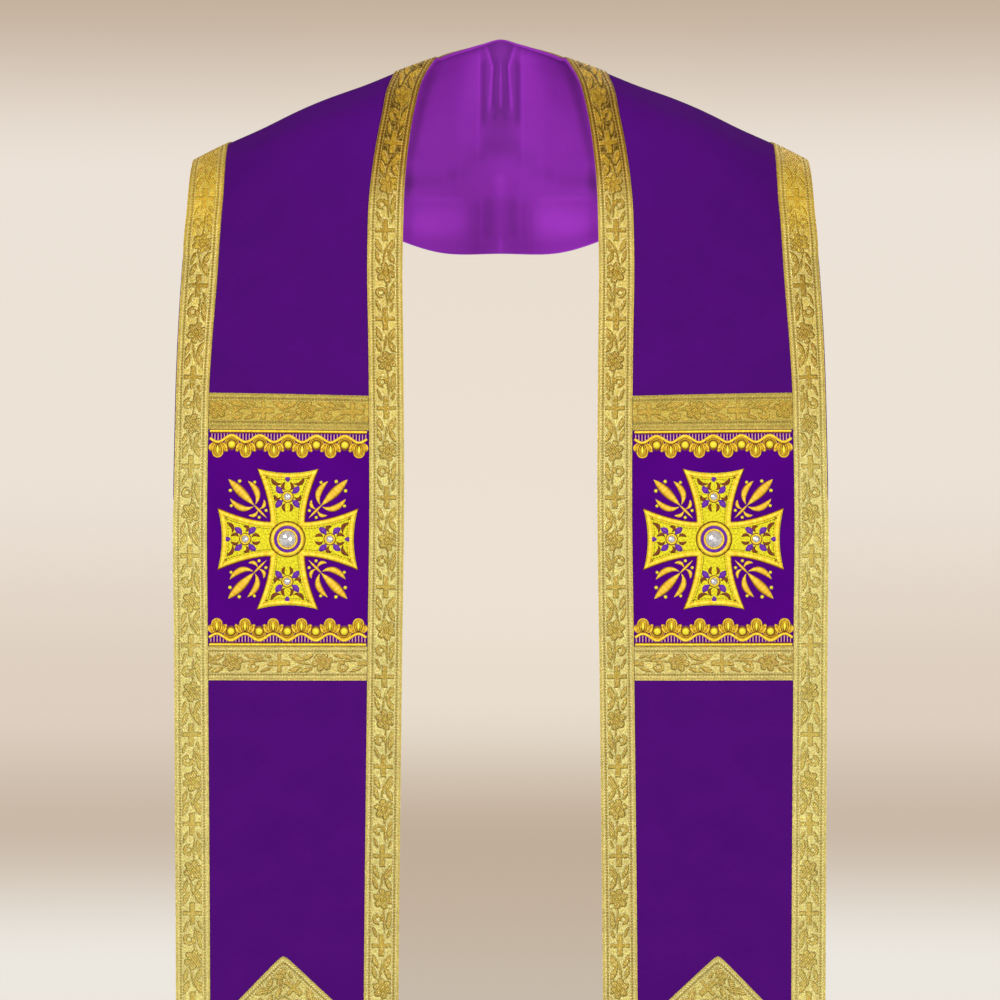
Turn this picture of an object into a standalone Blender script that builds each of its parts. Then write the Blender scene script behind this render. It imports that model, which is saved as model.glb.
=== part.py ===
"""Clergy stole in the form it has over the shoulders, with no wearer.

Frame: metres, +Z up, the front faces -Y and the wearer's left is at +X. The origin lies midway
between the two shoulders, level with the top of each shoulder at the neck.
Sizes are in millimetres and are turned into metres as each mesh is made.
"""

import math

import bmesh
import bpy
import numpy as np
from mathutils import Matrix, Vector

MM = 0.001

# Layers of the stole, measured outwards from the seam line between the lining and the cloth
GAP = 0.3
LINING_THICK = 1.0
CLOTH_THICK = 1.2
TRIM_THICK = 1.0
BORDER_THICK = 1.0
CROSS_THICK = 1.8
LINING_BASE = -GAP - LINING_THICK
TRIM_BASE = CLOTH_THICK + GAP
STITCHED_BASE = TRIM_BASE + TRIM_THICK + GAP
STONE_BASE = STITCHED_BASE + CROSS_THICK + GAP

# Edges, galloon and the heights on the front
EDGE_LIP = 0.8
GALLOON_WIDTH = 23.4
GALLOON_END = EDGE_LIP + GALLOON_WIDTH
FIELD_COLUMNS = 6
UPPER_BAND = (-244.2, -269.0)
PANEL = (-269.3, -419.9)
LOWER_BAND = (-420.2, -444.0)
CROSS_MIDDLE = -345.3
# Gable: where its arms' upper edges would meet, as a height and a place out from the front's
# middle line. Their slopes are GABLE_SLOPE + and - GABLE_LEAN, and the tip is a little blunt.
GABLE_TOP = -635.1
GABLE_TIP = 2.2
GABLE_SLOPE = 0.98
GABLE_LEAN = 0.05
GABLE_BLUNT = 1.7
HEM = -1150.0
LINING_HEM = -1147.0

# Scalloped border: scallops of this width in a row, one notch in the middle, which hang from a
# straight edge
SCALLOP_WIDTH = 19.8
SCALLOP_STEPS = 6
BORDER_DEPTH = 20.0
BORDER_NOTCH = 14.2

# Cross with arms that widen outwards, and the round stone in its middle
CROSS_HALF = 49.0
ARM_ROOT = 12.0
ARM_TIP = 21.5
ARM_HOLLOW = 3.0
ARM_FLARE = 1.7
ARM_ROWS = 4
STONE_RADIUS = 6.0
STONE_TABLE = 3.8
STONE_HEIGHT = 3.0
STONE_SIDES = 16

# The half stole as sections across the cloth, from the centre-back seam over the ridge of the
# shoulder and down the front to the hem. Each row gives the two ends of one section, at the neck
# edge and at the far edge, how far the cloth bulges outwards halfway between them, and how much
# wider than its own width each galloon lies there, where it turns askew over the shoulder.
# neck_x, neck_y, neck_z, far_x, far_y, far_z, bulge, neck galloon, far galloon
SECTIONS = (
    (0.0, 58.0, 17.5, 0.0, 98.0, -137.0, 5.0, 0.0, 0.0),
    (12.0, 53.0, 13.8, 44.0, 97.0, -136.2, 5.0, 0.0, 0.0),
    (23.0, 43.5, 9.6, 87.0, 93.0, -122.4, 6.0, 0.5, 0.0),
    (32.0, 31.0, 5.7, 130.0, 82.0, -105.2, 7.0, 1.5, 0.5),
    (38.6, 18.0, 2.0, 172.0, 61.0, -88.8, 6.5, 3.0, 1.5),
    (43.2, 8.0, -0.9, 204.0, 32.0, -78.4, 5.4, 5.0, 2.5),
    (46.4, 0.0, -2.3, 218.5, 0.0, -75.0, 4.2, 6.5, 3.0),
    (51.0, -10.0, -9.8, 220.2, -19.0, -82.2, 4.0, 5.0, 3.4),
    (55.5, -22.0, -19.4, 220.8, -35.0, -92.2, 5.0, 3.2, 4.0),
    (59.4, -38.0, -34.6, 221.4, -47.0, -105.0, 6.5, 1.3, 4.4),
    (64.2, -60.0, -63.5, 222.3, -58.0, -121.3, 8.0, 0.6, 4.4),
    (67.5, -79.0, -100.0, 223.4, -68.0, -141.0, 9.0, 0.8, 3.8),
    (68.8, -93.0, -148.0, 225.1, -78.0, -170.5, 8.0, 0.4, 2.9),
    (68.2, -101.5, -208.0, 227.0, -87.5, -212.0, 6.0, 0.0, 0.9),
    (67.8, -103.6, -245.8, 228.0, -90.5, -242.6, 5.3, 0.0, 0.0),
    (67.6, -104.4, -269.7, 228.5, -92.5, -268.3, 5.0, 0.0, 0.0),
    (67.5, -105.0, -318.0, 229.3, -95.0, -317.6, 4.5, 0.0, 0.0),
    (68.9, -105.0, -430.0, 228.6, -96.0, -430.0, 4.5, 0.0, 0.0),
    (71.4, -104.5, -668.0, 227.3, -95.5, -668.0, 4.5, 0.0, 0.0),
    (71.8, -104.0, HEM, 227.0, -95.0, HEM, 4.0, 0.0, 0.0),
)
BENT_SECTIONS = 13
ROWS_A_SECTION = 2
LONG_ROWS = (
    -304.0, CROSS_MIDDLE, -384.0, -490.0, -540.0, -590.0, GABLE_TOP, -690.0, -742.0, -795.0,
    -848.0, -900.0, -952.0, -1004.0, -1056.0, -1104.0,
)

# Soft folds of the whole thickness, as troughs and ridges between two places on the strip. Each
# row gives the distance along and across of both ends, the half width, and the height outwards.
FOLDS = (
    (20, 150, 110, 96, 26, -1.6),
    (60, 30, 190, 60, 24, -1.4),
    (150, 132, 250, 150, 24, -1.2),
    (640, 60, 900, 52, 26, 0.8),
    (660, 118, 1010, 108, 30, -0.8),
    (900, 88, 1300, 92, 30, 1.2),
    (1000, 34, 1330, 38, 24, -1.0),
    (1060, 132, 1330, 128, 24, -0.9),
)
FOLD_FADE = 0.3

COLOURS = {
    "cloth": (0.082, 0.006, 0.181, 1.0),
    "lining": (0.246, 0.025, 0.386, 1.0),
    "galloon": (0.571, 0.451, 0.130, 1.0),
    "panel": (0.087, 0.001, 0.198, 1.0),
    "gold": (0.896, 0.578, 0.032, 1.0),
    "stone": (0.800, 0.840, 0.900, 1.0),
}
METALLIC = {"galloon": 0.5, "gold": 0.6}

# The sections with the second one mirrored before the seam, so that the back runs on smoothly
# through the seam, and the distance of each along the middle of the strip.
table = np.array(SECTIONS)
table = np.vstack([table[1] * (-1, 1, 1, -1, 1, 1, 1, 1, 1), table])
middles = (table[:, 0:3] + table[:, 3:6]) / 2
knots = np.concatenate([[0.0], np.cumsum(np.linalg.norm(np.diff(middles, axis=0), axis=1))])
knots -= knots[1]
slopes = np.gradient(table, knots, axis=0)


def section_at(along):
    """The section at each distance along the strip: a smooth curve through the table's rows,
    which at each row has the slope of its neighbours."""
    along = np.asarray(along, float)
    left = np.clip(np.searchsorted(knots, along, side="right") - 1, 0, len(knots) - 2)
    span = knots[left + 1] - knots[left]
    part = ((along - knots[left]) / span)[..., None]
    span = span[..., None]
    rise = part * part * (3 - 2 * part)
    return (
        (1 - rise) * table[left]
        + rise * table[left + 1]
        + span * part * (1 - part) ** 2 * slopes[left]
        - span * part * part * (1 - part) * slopes[left + 1]
    )


def width_at(along):
    """How wide the cloth is at each distance along the strip."""
    section = section_at(along)
    return np.linalg.norm(section[..., 3:6] - section[..., 0:3], axis=-1)


def extra_widths(along):
    """How much wider the neck galloon and the far galloon lie at each distance along the strip."""
    section = section_at(along)
    return np.maximum(section[..., 7], 0.0), np.maximum(section[..., 8], 0.0)


def flat_points(along, across):
    """The straight section's point, moved out by the bulge times 4 t (1 - t)."""
    section = section_at(along)
    neck = section[..., 0:3]
    width = section[..., 3:6] - neck
    run = (section_at(along + 1.0) - section_at(along - 1.0))[..., 0:6]
    t = (across / np.linalg.norm(width, axis=-1))[..., None]
    out = np.cross(run[..., 0:3] * (1 - t) + run[..., 3:6] * t, width)
    out /= np.linalg.norm(out, axis=-1, keepdims=True)
    return neck + width * t + out * section[..., 6:7] * 4 * t * (1 - t)


def fold(along, across, row):
    """The fold's height times exp(-(distance from its line / half width)^2), which fades out
    towards both ends of the line."""
    start_along, start_across, end_along, end_across, half, height = row
    line = np.array([end_along - start_along, end_across - start_across], float)
    length = np.hypot(*line)
    line /= length
    towards = (along - start_along) * line[0] + (across - start_across) * line[1]
    away = (along - start_along) * line[1] - (across - start_across) * line[0]
    inside = np.clip(np.minimum(towards, length - towards) / (FOLD_FADE * length) + 0.5, 0, 1)
    return height * inside * inside * (3 - 2 * inside) * np.exp(-((away / half) ** 2))


def surface(along, across, lift):
    """Points this far along the strip and across it from the neck edge, moved out by lift and the
    folds along the normal, which is the cross product of the surface's two slopes."""
    along, across = np.broadcast_arrays(np.asarray(along, float), np.asarray(across, float))
    run = flat_points(along + 0.5, across) - flat_points(along - 0.5, across)
    side = flat_points(along, across + 0.5) - flat_points(along, across - 0.5)
    out = np.cross(run, side)
    out /= np.linalg.norm(out, axis=-1, keepdims=True)
    raised = lift + sum(fold(along, across, row) for row in FOLDS)
    points = flat_points(along, across) + out * raised[..., None]
    points[..., 0] = np.maximum(points[..., 0], GAP / 2)
    return points


def along_at(height):
    """The distance along the strip at which the middle of the front is at this height."""
    fine = np.linspace(knots[BENT_SECTIONS - 2], knots[-1], 4001)
    section = section_at(fine)
    return np.interp(-np.asarray(height, float), -(section[:, 2] + section[:, 5]) / 2, fine)


def material(name):
    """A Principled material in the colour of that name."""
    made = bpy.data.materials.get(name) or bpy.data.materials.new(name)
    made.use_nodes = True
    made.diffuse_color = COLOURS[name]
    shader = made.node_tree.nodes["Principled BSDF"]
    shader.inputs["Base Color"].default_value = COLOURS[name]
    shader.inputs["Metallic"].default_value = METALLIC.get(name, 0.0)
    shader.inputs["Roughness"].default_value = 0.1 if name == "stone" else 0.6
    return made


def keep(name, bm, colour):
    """The finished bmesh as an object of the stole's collection."""
    mesh = bpy.data.meshes.new(name)
    bm.to_mesh(mesh)
    bm.free()
    mesh.materials.append(material(colour))
    made = bpy.data.objects.new(name, mesh)
    bpy.data.collections["clergy_stole"].objects.link(made)
    return made


def sheet(name, side, patches, lift, thick, colour):
    """One piece of cloth or trim: each patch is a grid whose corners hold a distance along the
    strip and one across it. The grids are laid on the surface at this lift, joined where they
    meet, and given a wall outwards."""
    bm = bmesh.new()
    for along, across in patches:
        rows, columns = along.shape
        points = surface(along, across, lift) * (side * MM, MM, MM)
        made = bmesh.ops.create_grid(bm, x_segments=columns - 1, y_segments=rows - 1, size=1.0)
        for vert in made["verts"]:
            column = round((vert.co.x + 1) / 2 * (columns - 1))
            row = round((vert.co.y + 1) / 2 * (rows - 1))
            vert.co = Vector(points[row, column])
    bmesh.ops.remove_doubles(bm, verts=bm.verts, dist=0.01 * MM)
    bmesh.ops.triangulate(bm, faces=bm.faces, quad_method="FIXED")
    bm.normal_update()
    # Going along by going across points outwards on the wearer's left, and inwards when mirrored.
    if side > 0:
        bmesh.ops.reverse_faces(bm, faces=bm.faces)
    made = keep(name, bm, colour)
    wall = made.modifiers.new("wall", "SOLIDIFY")
    wall.thickness = thick * MM
    wall.offset = 1.0
    wall.use_even_offset = True
    return made


def strip_patch(along, columns):
    """A patch with these distances along, and columns given as a share of the width plus mm, with
    the shares of the neck galloon's extra width added and of the far galloon's taken off."""
    along = np.asarray(along, float)
    share, extra, neck_share, far_share = np.array(columns).T
    neck, far = extra_widths(along)
    across = width_at(along)[:, None] * share + extra
    across = across + neck[:, None] * neck_share - far[:, None] * far_share
    return np.broadcast_to(along[:, None], across.shape), across


def field_columns(inset):
    """Columns between the two galloons, this far from each edge of the cloth."""
    cuts = []
    for step in range(FIELD_COLUMNS + 1):
        share = step / FIELD_COLUMNS
        edge = GALLOON_END if 0 < step < FIELD_COLUMNS else inset
        cuts.append((share, edge * (1 - 2 * share), 1 - share, share))
    return cuts


def front_patch(right, down):
    """A patch on the front from flat sizes: right is the distance across from the middle of the
    strip towards the far edge, and down is the height on the front."""
    along = along_at(down)
    return along, width_at(along) / 2 + right


def border_patch(level, sign):
    """The scalloped border that starts at this height and hangs towards sign: a straight edge,
    and a far edge whose depth is notch + (depth - notch) sqrt(sin) along each scallop."""
    half = float(width_at(along_at(level))) / 2 - GALLOON_END - 2 * GAP
    step = SCALLOP_WIDTH / SCALLOP_STEPS
    count = int(half / step)
    right = np.concatenate([[-half], np.arange(-count, count + 1) * step, [half]])
    swell = np.sqrt(np.abs(np.sin(math.pi * right / SCALLOP_WIDTH)))
    far = BORDER_NOTCH + (BORDER_DEPTH - BORDER_NOTCH) * swell
    near = np.full_like(far, 0.6)
    down = level + sign * np.stack([near, far * 0.5, far])
    if sign > 0:
        down = down[::-1]
    return front_patch(np.broadcast_to(right, down.shape), down)


def cross_patches():
    """The cross as its middle square and four arms, each arm a grid of rows outwards. An arm's
    half width is root + (tip - root) v ** flare, and its end is hollowed by a shallow curve."""
    cut = np.linspace(-1.0, 1.0, 5)
    patches = []
    right, up = np.meshgrid(cut * ARM_ROOT, cut[::-1] * ARM_ROOT)
    patches.append((right, up))
    v = np.linspace(0.0, 1.0, ARM_ROWS + 1)[:, None]
    half = ARM_ROOT + (ARM_TIP - ARM_ROOT) * v**ARM_FLARE
    wide = cut[None, :] * half
    far = ARM_ROOT + v * (CROSS_HALF - ARM_ROOT - ARM_HOLLOW * (1 - cut[None, :] ** 2))
    for turn in range(4):
        angle = turn * math.pi / 2
        right = wide * math.cos(angle) + far * math.sin(angle)
        up = far * math.cos(angle) - wide * math.sin(angle)
        # Rows must run down the front for the faces to point outwards.
        patches.append((right[::-1], up[::-1]))
    return [front_patch(right, CROSS_MIDDLE + up) for right, up in patches]


def gable_patch():
    """Mitred galloon: two arms from its tip down to the side galloons. The upper edge falls by
    slope * sqrt(away^2 + blunt^2) + lean * away, where away is the distance out from the tip."""
    foot = along_at(GABLE_TOP - 4 * GALLOON_WIDTH)
    half = float(width_at(foot)) / 2 - GALLOON_END - GAP
    inner, outer = np.linspace(-half, GABLE_TIP - 4, 4), np.linspace(GABLE_TIP + 4, half, 4)
    right = np.concatenate([inner, [GABLE_TIP - 1.5, GABLE_TIP, GABLE_TIP + 1.5], outer])
    away = right - GABLE_TIP
    drop = np.linspace(0.0, GALLOON_WIDTH * math.sqrt(2), 3)[:, None]
    fall = GABLE_SLOPE * np.sqrt(away**2 + GABLE_BLUNT**2) + GABLE_LEAN * away
    down = GABLE_TOP - fall - drop
    return front_patch(np.broadcast_to(right, down.shape), down)


def stone(name, side):
    """A round cut stone, standing on the surface at the middle of the cross."""
    along = along_at(CROSS_MIDDLE)
    across = width_at(along) / 2
    base = surface(along, across, STONE_BASE)
    out = Vector(surface(along, across, STONE_BASE + 1.0) - base)
    bm = bmesh.new()
    bmesh.ops.create_cone(
        bm,
        cap_ends=True,
        segments=STONE_SIDES,
        radius1=STONE_RADIUS * MM,
        radius2=STONE_TABLE * MM,
        depth=STONE_HEIGHT * MM,
    )
    out.x *= side
    middle = Vector(base * (side, 1, 1)) + out * STONE_HEIGHT / 2
    turn = Vector((0, 0, 1)).rotation_difference(out).to_matrix().to_4x4()
    bm.transform(Matrix.Translation(middle * MM) @ turn)
    return keep(name, bm, "stone")


def strip_rows():
    """Distances along the strip at which every long piece has a row, the hem of the lining last
    but one."""
    bent = knots[1 : BENT_SECTIONS + 2]
    rows = []
    for low, high in zip(bent[:-1], bent[1:]):
        rows.extend(np.linspace(low, high, ROWS_A_SECTION, endpoint=False))
    levels = LONG_ROWS + (UPPER_BAND[0], PANEL[0], LOWER_BAND[0], LOWER_BAND[1], LINING_HEM)
    rows.append(bent[-1])
    rows.extend(along_at(np.sort(levels)[::-1]))
    rows.append(knots[-1])
    return np.array(rows)


def main():
    for old in list(bpy.data.objects):
        bpy.data.objects.remove(old, do_unlink=True)
    collection = bpy.data.collections.new("clergy_stole")
    bpy.context.scene.collection.children.link(collection)

    rows = strip_rows()
    field = field_columns(GALLOON_END)
    neck_galloon = [(0.0, EDGE_LIP, 0.0, 0.0), (0.0, GALLOON_END, 1.0, 0.0)]
    far_galloon = [(1.0, -GALLOON_END, 0.0, 1.0), (1.0, -EDGE_LIP, 0.0, 0.0)]
    cloth_columns = neck_galloon[:1] + field + far_galloon[1:] + [(1.0, 0.0, 0.0, 0.0)]
    lining_columns = [(0.0, 0.0, 0.0, 0.0)] + neck_galloon[:1] + field + far_galloon[1:]
    between = field_columns(GALLOON_END + GAP)

    for word, side in (("left", 1), ("right", -1)):
        cloth = strip_patch(rows, cloth_columns)
        lining = strip_patch(rows[:-1], lining_columns)
        sheet(f"cloth_{word}", side, [cloth], 0.0, CLOTH_THICK, "cloth")
        sheet(f"lining_{word}", side, [lining], LINING_BASE, LINING_THICK, "lining")
        for edge, columns in (("neck", neck_galloon), ("outer", far_galloon)):
            patch = strip_patch(rows, columns)
            sheet(f"galloon_{edge}_{word}", side, [patch], TRIM_BASE, TRIM_THICK, "galloon")
        for place, levels in (("upper", UPPER_BAND), ("lower", LOWER_BAND)):
            patch = strip_patch(along_at(levels), between)
            sheet(f"band_{place}_{word}", side, [patch], TRIM_BASE, TRIM_THICK, "galloon")
        levels = (PANEL[0], LONG_ROWS[0], LONG_ROWS[1], LONG_ROWS[2], PANEL[1])
        patch = strip_patch(along_at(levels), between)
        sheet(f"panel_{word}", side, [patch], TRIM_BASE, TRIM_THICK, "panel")
        for place, level, sign in (("upper", PANEL[0], -1), ("lower", PANEL[1], 1)):
            patch = border_patch(level, sign)
            sheet(f"border_{place}_{word}", side, [patch], STITCHED_BASE, BORDER_THICK, "gold")
        sheet(f"cross_{word}", side, cross_patches(), STITCHED_BASE, CROSS_THICK, "gold")
        stone(f"stone_{word}", side)
        sheet(f"gable_{word}", side, [gable_patch()], TRIM_BASE, TRIM_THICK, "galloon")


main()
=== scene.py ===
import math

import bmesh
import bpy
import numpy as np
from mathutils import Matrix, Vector


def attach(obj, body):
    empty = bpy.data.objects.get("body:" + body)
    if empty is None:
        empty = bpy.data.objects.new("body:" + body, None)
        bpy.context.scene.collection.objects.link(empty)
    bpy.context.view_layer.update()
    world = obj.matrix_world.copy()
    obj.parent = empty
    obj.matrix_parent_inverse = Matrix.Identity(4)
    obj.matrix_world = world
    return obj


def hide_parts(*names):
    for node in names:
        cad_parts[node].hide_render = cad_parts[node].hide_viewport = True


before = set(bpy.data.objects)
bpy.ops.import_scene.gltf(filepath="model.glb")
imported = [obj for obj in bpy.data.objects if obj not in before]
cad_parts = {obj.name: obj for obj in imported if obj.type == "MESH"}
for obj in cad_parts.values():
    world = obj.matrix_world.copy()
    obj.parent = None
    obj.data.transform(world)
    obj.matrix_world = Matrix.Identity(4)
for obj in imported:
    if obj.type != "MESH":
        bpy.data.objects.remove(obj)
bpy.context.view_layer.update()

mm = 0.001
gap = 0.3  # between sewn layers, in mm

# Sizes of the stole in mm, the same as those of its solids.
edgeLip = 0.8
galloonWidth = 23.4
galloonEnd = edgeLip + galloonWidth
upperBand = (-244.2, -269.0)
panelSpan = (-269.3, -419.9)
lowerBand = (-420.2, -444.0)
crossMiddle = -345.3
gableTop = -635.1
hem = -1150.0
sides = (("Left", "left", 1.0), ("Right", "right", -1.0))

# One row for each section across the half stole, from the centre-back seam over the shoulder to
# the hem: the neck edge's x, y, z, the far edge's x, y, z, the bulge halfway, and how much wider
# the neck galloon and the outer one lie there, where they turn askew over the shoulder.
sections = np.array([
    (0.0, 58.0, 17.5, 0.0, 98.0, -137.0, 5.0, 0.0, 0.0),
    (12.0, 53.0, 13.8, 44.0, 97.0, -136.2, 5.0, 0.0, 0.0),
    (23.0, 43.5, 9.6, 87.0, 93.0, -122.4, 6.0, 0.5, 0.0),
    (32.0, 31.0, 5.7, 130.0, 82.0, -105.2, 7.0, 1.5, 0.5),
    (38.6, 18.0, 2.0, 172.0, 61.0, -88.8, 6.5, 3.0, 1.5),
    (43.2, 8.0, -0.9, 204.0, 32.0, -78.4, 5.4, 5.0, 2.5),
    (46.4, 0.0, -2.3, 218.5, 0.0, -75.0, 4.2, 6.5, 3.0),
    (51.0, -10.0, -9.8, 220.2, -19.0, -82.2, 4.0, 5.0, 3.4),
    (55.5, -22.0, -19.4, 220.8, -35.0, -92.2, 5.0, 3.2, 4.0),
    (59.4, -38.0, -34.6, 221.4, -47.0, -105.0, 6.5, 1.3, 4.4),
    (64.2, -60.0, -63.5, 222.3, -58.0, -121.3, 8.0, 0.6, 4.4),
    (67.5, -79.0, -100.0, 223.4, -68.0, -141.0, 9.0, 0.8, 3.8),
    (68.8, -93.0, -148.0, 225.1, -78.0, -170.5, 8.0, 0.4, 2.9),
    (68.2, -101.5, -208.0, 227.0, -87.5, -212.0, 6.0, 0.0, 0.9),
    (67.8, -103.6, -245.8, 228.0, -90.5, -242.6, 5.3, 0.0, 0.0),
    (67.6, -104.4, -269.7, 228.5, -92.5, -268.3, 5.0, 0.0, 0.0),
    (67.5, -105.0, -318.0, 229.3, -95.0, -317.6, 4.5, 0.0, 0.0),
    (68.9, -105.0, -430.0, 228.6, -96.0, -430.0, 4.5, 0.0, 0.0),
    (71.4, -104.5, -668.0, 227.3, -95.5, -668.0, 4.5, 0.0, 0.0),
    (71.8, -104.0, hem, 227.0, -95.0, hem, 4.0, 0.0, 0.0),
])
sections = np.vstack([sections[1] * (-1, 1, 1, -1, 1, 1, 1, 1, 1), sections])
halfway = (sections[:, 0:3] + sections[:, 3:6]) / 2
knots = np.concatenate([[0.0], np.cumsum(np.linalg.norm(np.diff(halfway, axis=0), axis=1))])
knots -= knots[1]
slopes = np.gradient(sections, knots, axis=0)


def sectionAt(along):
    # A cubic Hermite curve through the rows, whose slope at a row is that of its neighbours.
    along = np.asarray(along, float)
    left = np.clip(np.searchsorted(knots, along, side="right") - 1, 0, len(knots) - 2)
    span = (knots[left + 1] - knots[left])[..., None]
    part = (along - knots[left])[..., None] / span
    rise = part * part * (3 - 2 * part)
    return (
        (1 - rise) * sections[left]
        + rise * sections[left + 1]
        + span * part * (1 - part) ** 2 * slopes[left]
        - span * part * part * (1 - part) * slopes[left + 1]
    )


def widthAt(along):
    # The distance from the neck edge to the far edge
    section = sectionAt(along)
    return np.linalg.norm(section[..., 3:6] - section[..., 0:3], axis=-1)


def extraWidths(along):
    # How much wider the neck galloon and the outer one lie
    section = sectionAt(along)
    return np.maximum(section[..., 7], 0.0), np.maximum(section[..., 8], 0.0)


def ruled(along, across):
    # A straight line from the neck edge to the far edge, moved out by bulge * 4 t (1 - t).
    section = sectionAt(along)
    neck = section[..., 0:3]
    width = section[..., 3:6] - neck
    run = (sectionAt(along + 1.0) - sectionAt(along - 1.0))[..., 0:6]
    t = (across / np.linalg.norm(width, axis=-1))[..., None]
    out = np.cross(run[..., 0:3] * (1 - t) + run[..., 3:6] * t, width)
    out /= np.linalg.norm(out, axis=-1, keepdims=True)
    return neck + width * t + out * section[..., 6:7] * 4 * t * (1 - t)


def alongAt(height):
    # The distance along the strip at which the middle of the front is at this height.
    fine = np.linspace(knots[11], knots[-1], 4001)
    section = sectionAt(fine)
    return np.interp(-np.asarray(height, float), -(section[:, 2] + section[:, 5]) / 2, fine)


# Soft folds of the whole thickness, as troughs and ridges between two places on the strip:
# along and across of each end in mm, half width in mm, and height outwards in mm.
clothFolds = dict(
    rows=(
        (20, 150, 110, 96, 26, -1.6), (60, 30, 190, 60, 24, -1.4), (150, 132, 250, 150, 24, -1.2),
        (640, 60, 900, 52, 26, 0.8), (660, 118, 1010, 108, 30, -0.8), (900, 88, 1300, 92, 30, 1.2),
        (1000, 34, 1330, 38, 24, -1.0), (1060, 132, 1330, 128, 24, -0.9),
    )
)


def fold(along, across, row):
    # height * exp(-(distance from the line / half width)^2), faded out towards the line's ends.
    startAlong, startAcross, endAlong, endAcross, half, height = row
    line = np.array([endAlong - startAlong, endAcross - startAcross], float)
    length = np.hypot(*line)
    line /= length
    towards = (along - startAlong) * line[0] + (across - startAcross) * line[1]
    away = (along - startAlong) * line[1] - (across - startAcross) * line[0]
    inside = np.clip(np.minimum(towards, length - towards) / (0.3 * length) + 0.5, 0, 1)
    fade = inside * inside * (3 - 2 * inside)
    return height * fade * np.exp(-((away / half) ** 2))


def surface(along, across, lift, relief=None):
    # Points moved out along the normal, which is the cross product of the two slopes.
    along, across = np.broadcast_arrays(np.asarray(along, float), np.asarray(across, float))
    run = ruled(along + 0.5, across) - ruled(along - 0.5, across)
    side = ruled(along, across + 0.5) - ruled(along, across - 0.5)
    out = np.cross(run, side)
    out /= np.linalg.norm(out, axis=-1, keepdims=True)
    points = ruled(along, across)
    raised = lift + sum(fold(along, across, row) for row in clothFolds["rows"])
    if relief is not None:
        raised = raised + relief(points)
    points = points + out * np.asarray(raised)[..., None]
    points[..., 0] = np.maximum(points[..., 0], 0.0)
    return points


def front(right, height):
    # A place on a front from flat sizes: right of its middle line, and its height.
    along = alongAt(height)
    return along, widthAt(along) / 2 + right


def gridFaces(rows, columns, start=0):
    # Quads that face outwards where going along by going across does.
    index = np.arange(rows * columns).reshape(rows, columns) + start
    quads = [index[:-1, :-1], index[1:, :-1], index[1:, 1:], index[:-1, 1:]]
    return np.stack(quads, axis=-1).reshape(-1, 4)


def makePiece(name, points, faces, size, materials, kinds=None, smooth=True, shade=None):
    # points in mm; size is each point's place on the flat piece in mm, kept as a UV map, and
    # shade how far painted light lightens it or painted shade darkens it.
    mesh = bpy.data.meshes.new(name)
    mesh.from_pydata((points * mm).tolist(), [], faces.tolist())
    corners = np.empty(len(mesh.loops), np.int32)
    mesh.loops.foreach_get("vertex_index", corners)
    layer = mesh.uv_layers.new(name="size")
    layer.data.foreach_set("uv", np.asarray(size, np.float32)[corners].ravel())
    if shade is not None:
        paintedShadeLayer = mesh.attributes.new("shade", "FLOAT", "POINT")
        paintedShadeLayer.data.foreach_set("value", np.asarray(shade, np.float32).ravel())
    for one in materials:
        mesh.materials.append(one)
    if kinds is not None:
        mesh.polygons.foreach_set("material_index", np.asarray(kinds, np.int32))
    mesh.polygons.foreach_set("use_smooth", np.full(len(mesh.polygons), smooth))
    mesh.update()
    piece = bpy.data.objects.new(name, mesh)
    bpy.context.scene.collection.objects.link(piece)
    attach(piece, "root")
    return piece


def addWall(piece, thickness):
    wall = piece.modifiers.new("wall", "SOLIDIFY")
    wall.thickness = thickness * mm
    wall.offset = 1.0
    wall.use_even_offset = True
    return piece


def makeSheet(name, side, along, across, lift, thickness, size, material, relief=None, shade=None):
    # One layer of the stole as a grid of points on the surface, with a wall outwards.
    points = surface(along, across, lift, relief) * (side, 1, 1)
    faces = gridFaces(*along.shape)
    if side < 0:
        faces = faces[:, ::-1]
    flat = size.reshape(-1, 2)
    piece = makePiece(name, points.reshape(-1, 3), faces, flat, [material], shade=shade)
    # Edges that only one face has are sharp, so that the wall round them doesn't shade the face.
    mesh = piece.data
    edges = np.empty(len(mesh.loops), np.int32)
    mesh.loops.foreach_get("edge_index", edges)
    sharp = mesh.attributes.new("sharp_edge", "BOOLEAN", "EDGE")
    sharp.data.foreach_set("value", np.bincount(edges, minlength=len(mesh.edges)) == 1)
    return addWall(piece, thickness)


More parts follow.
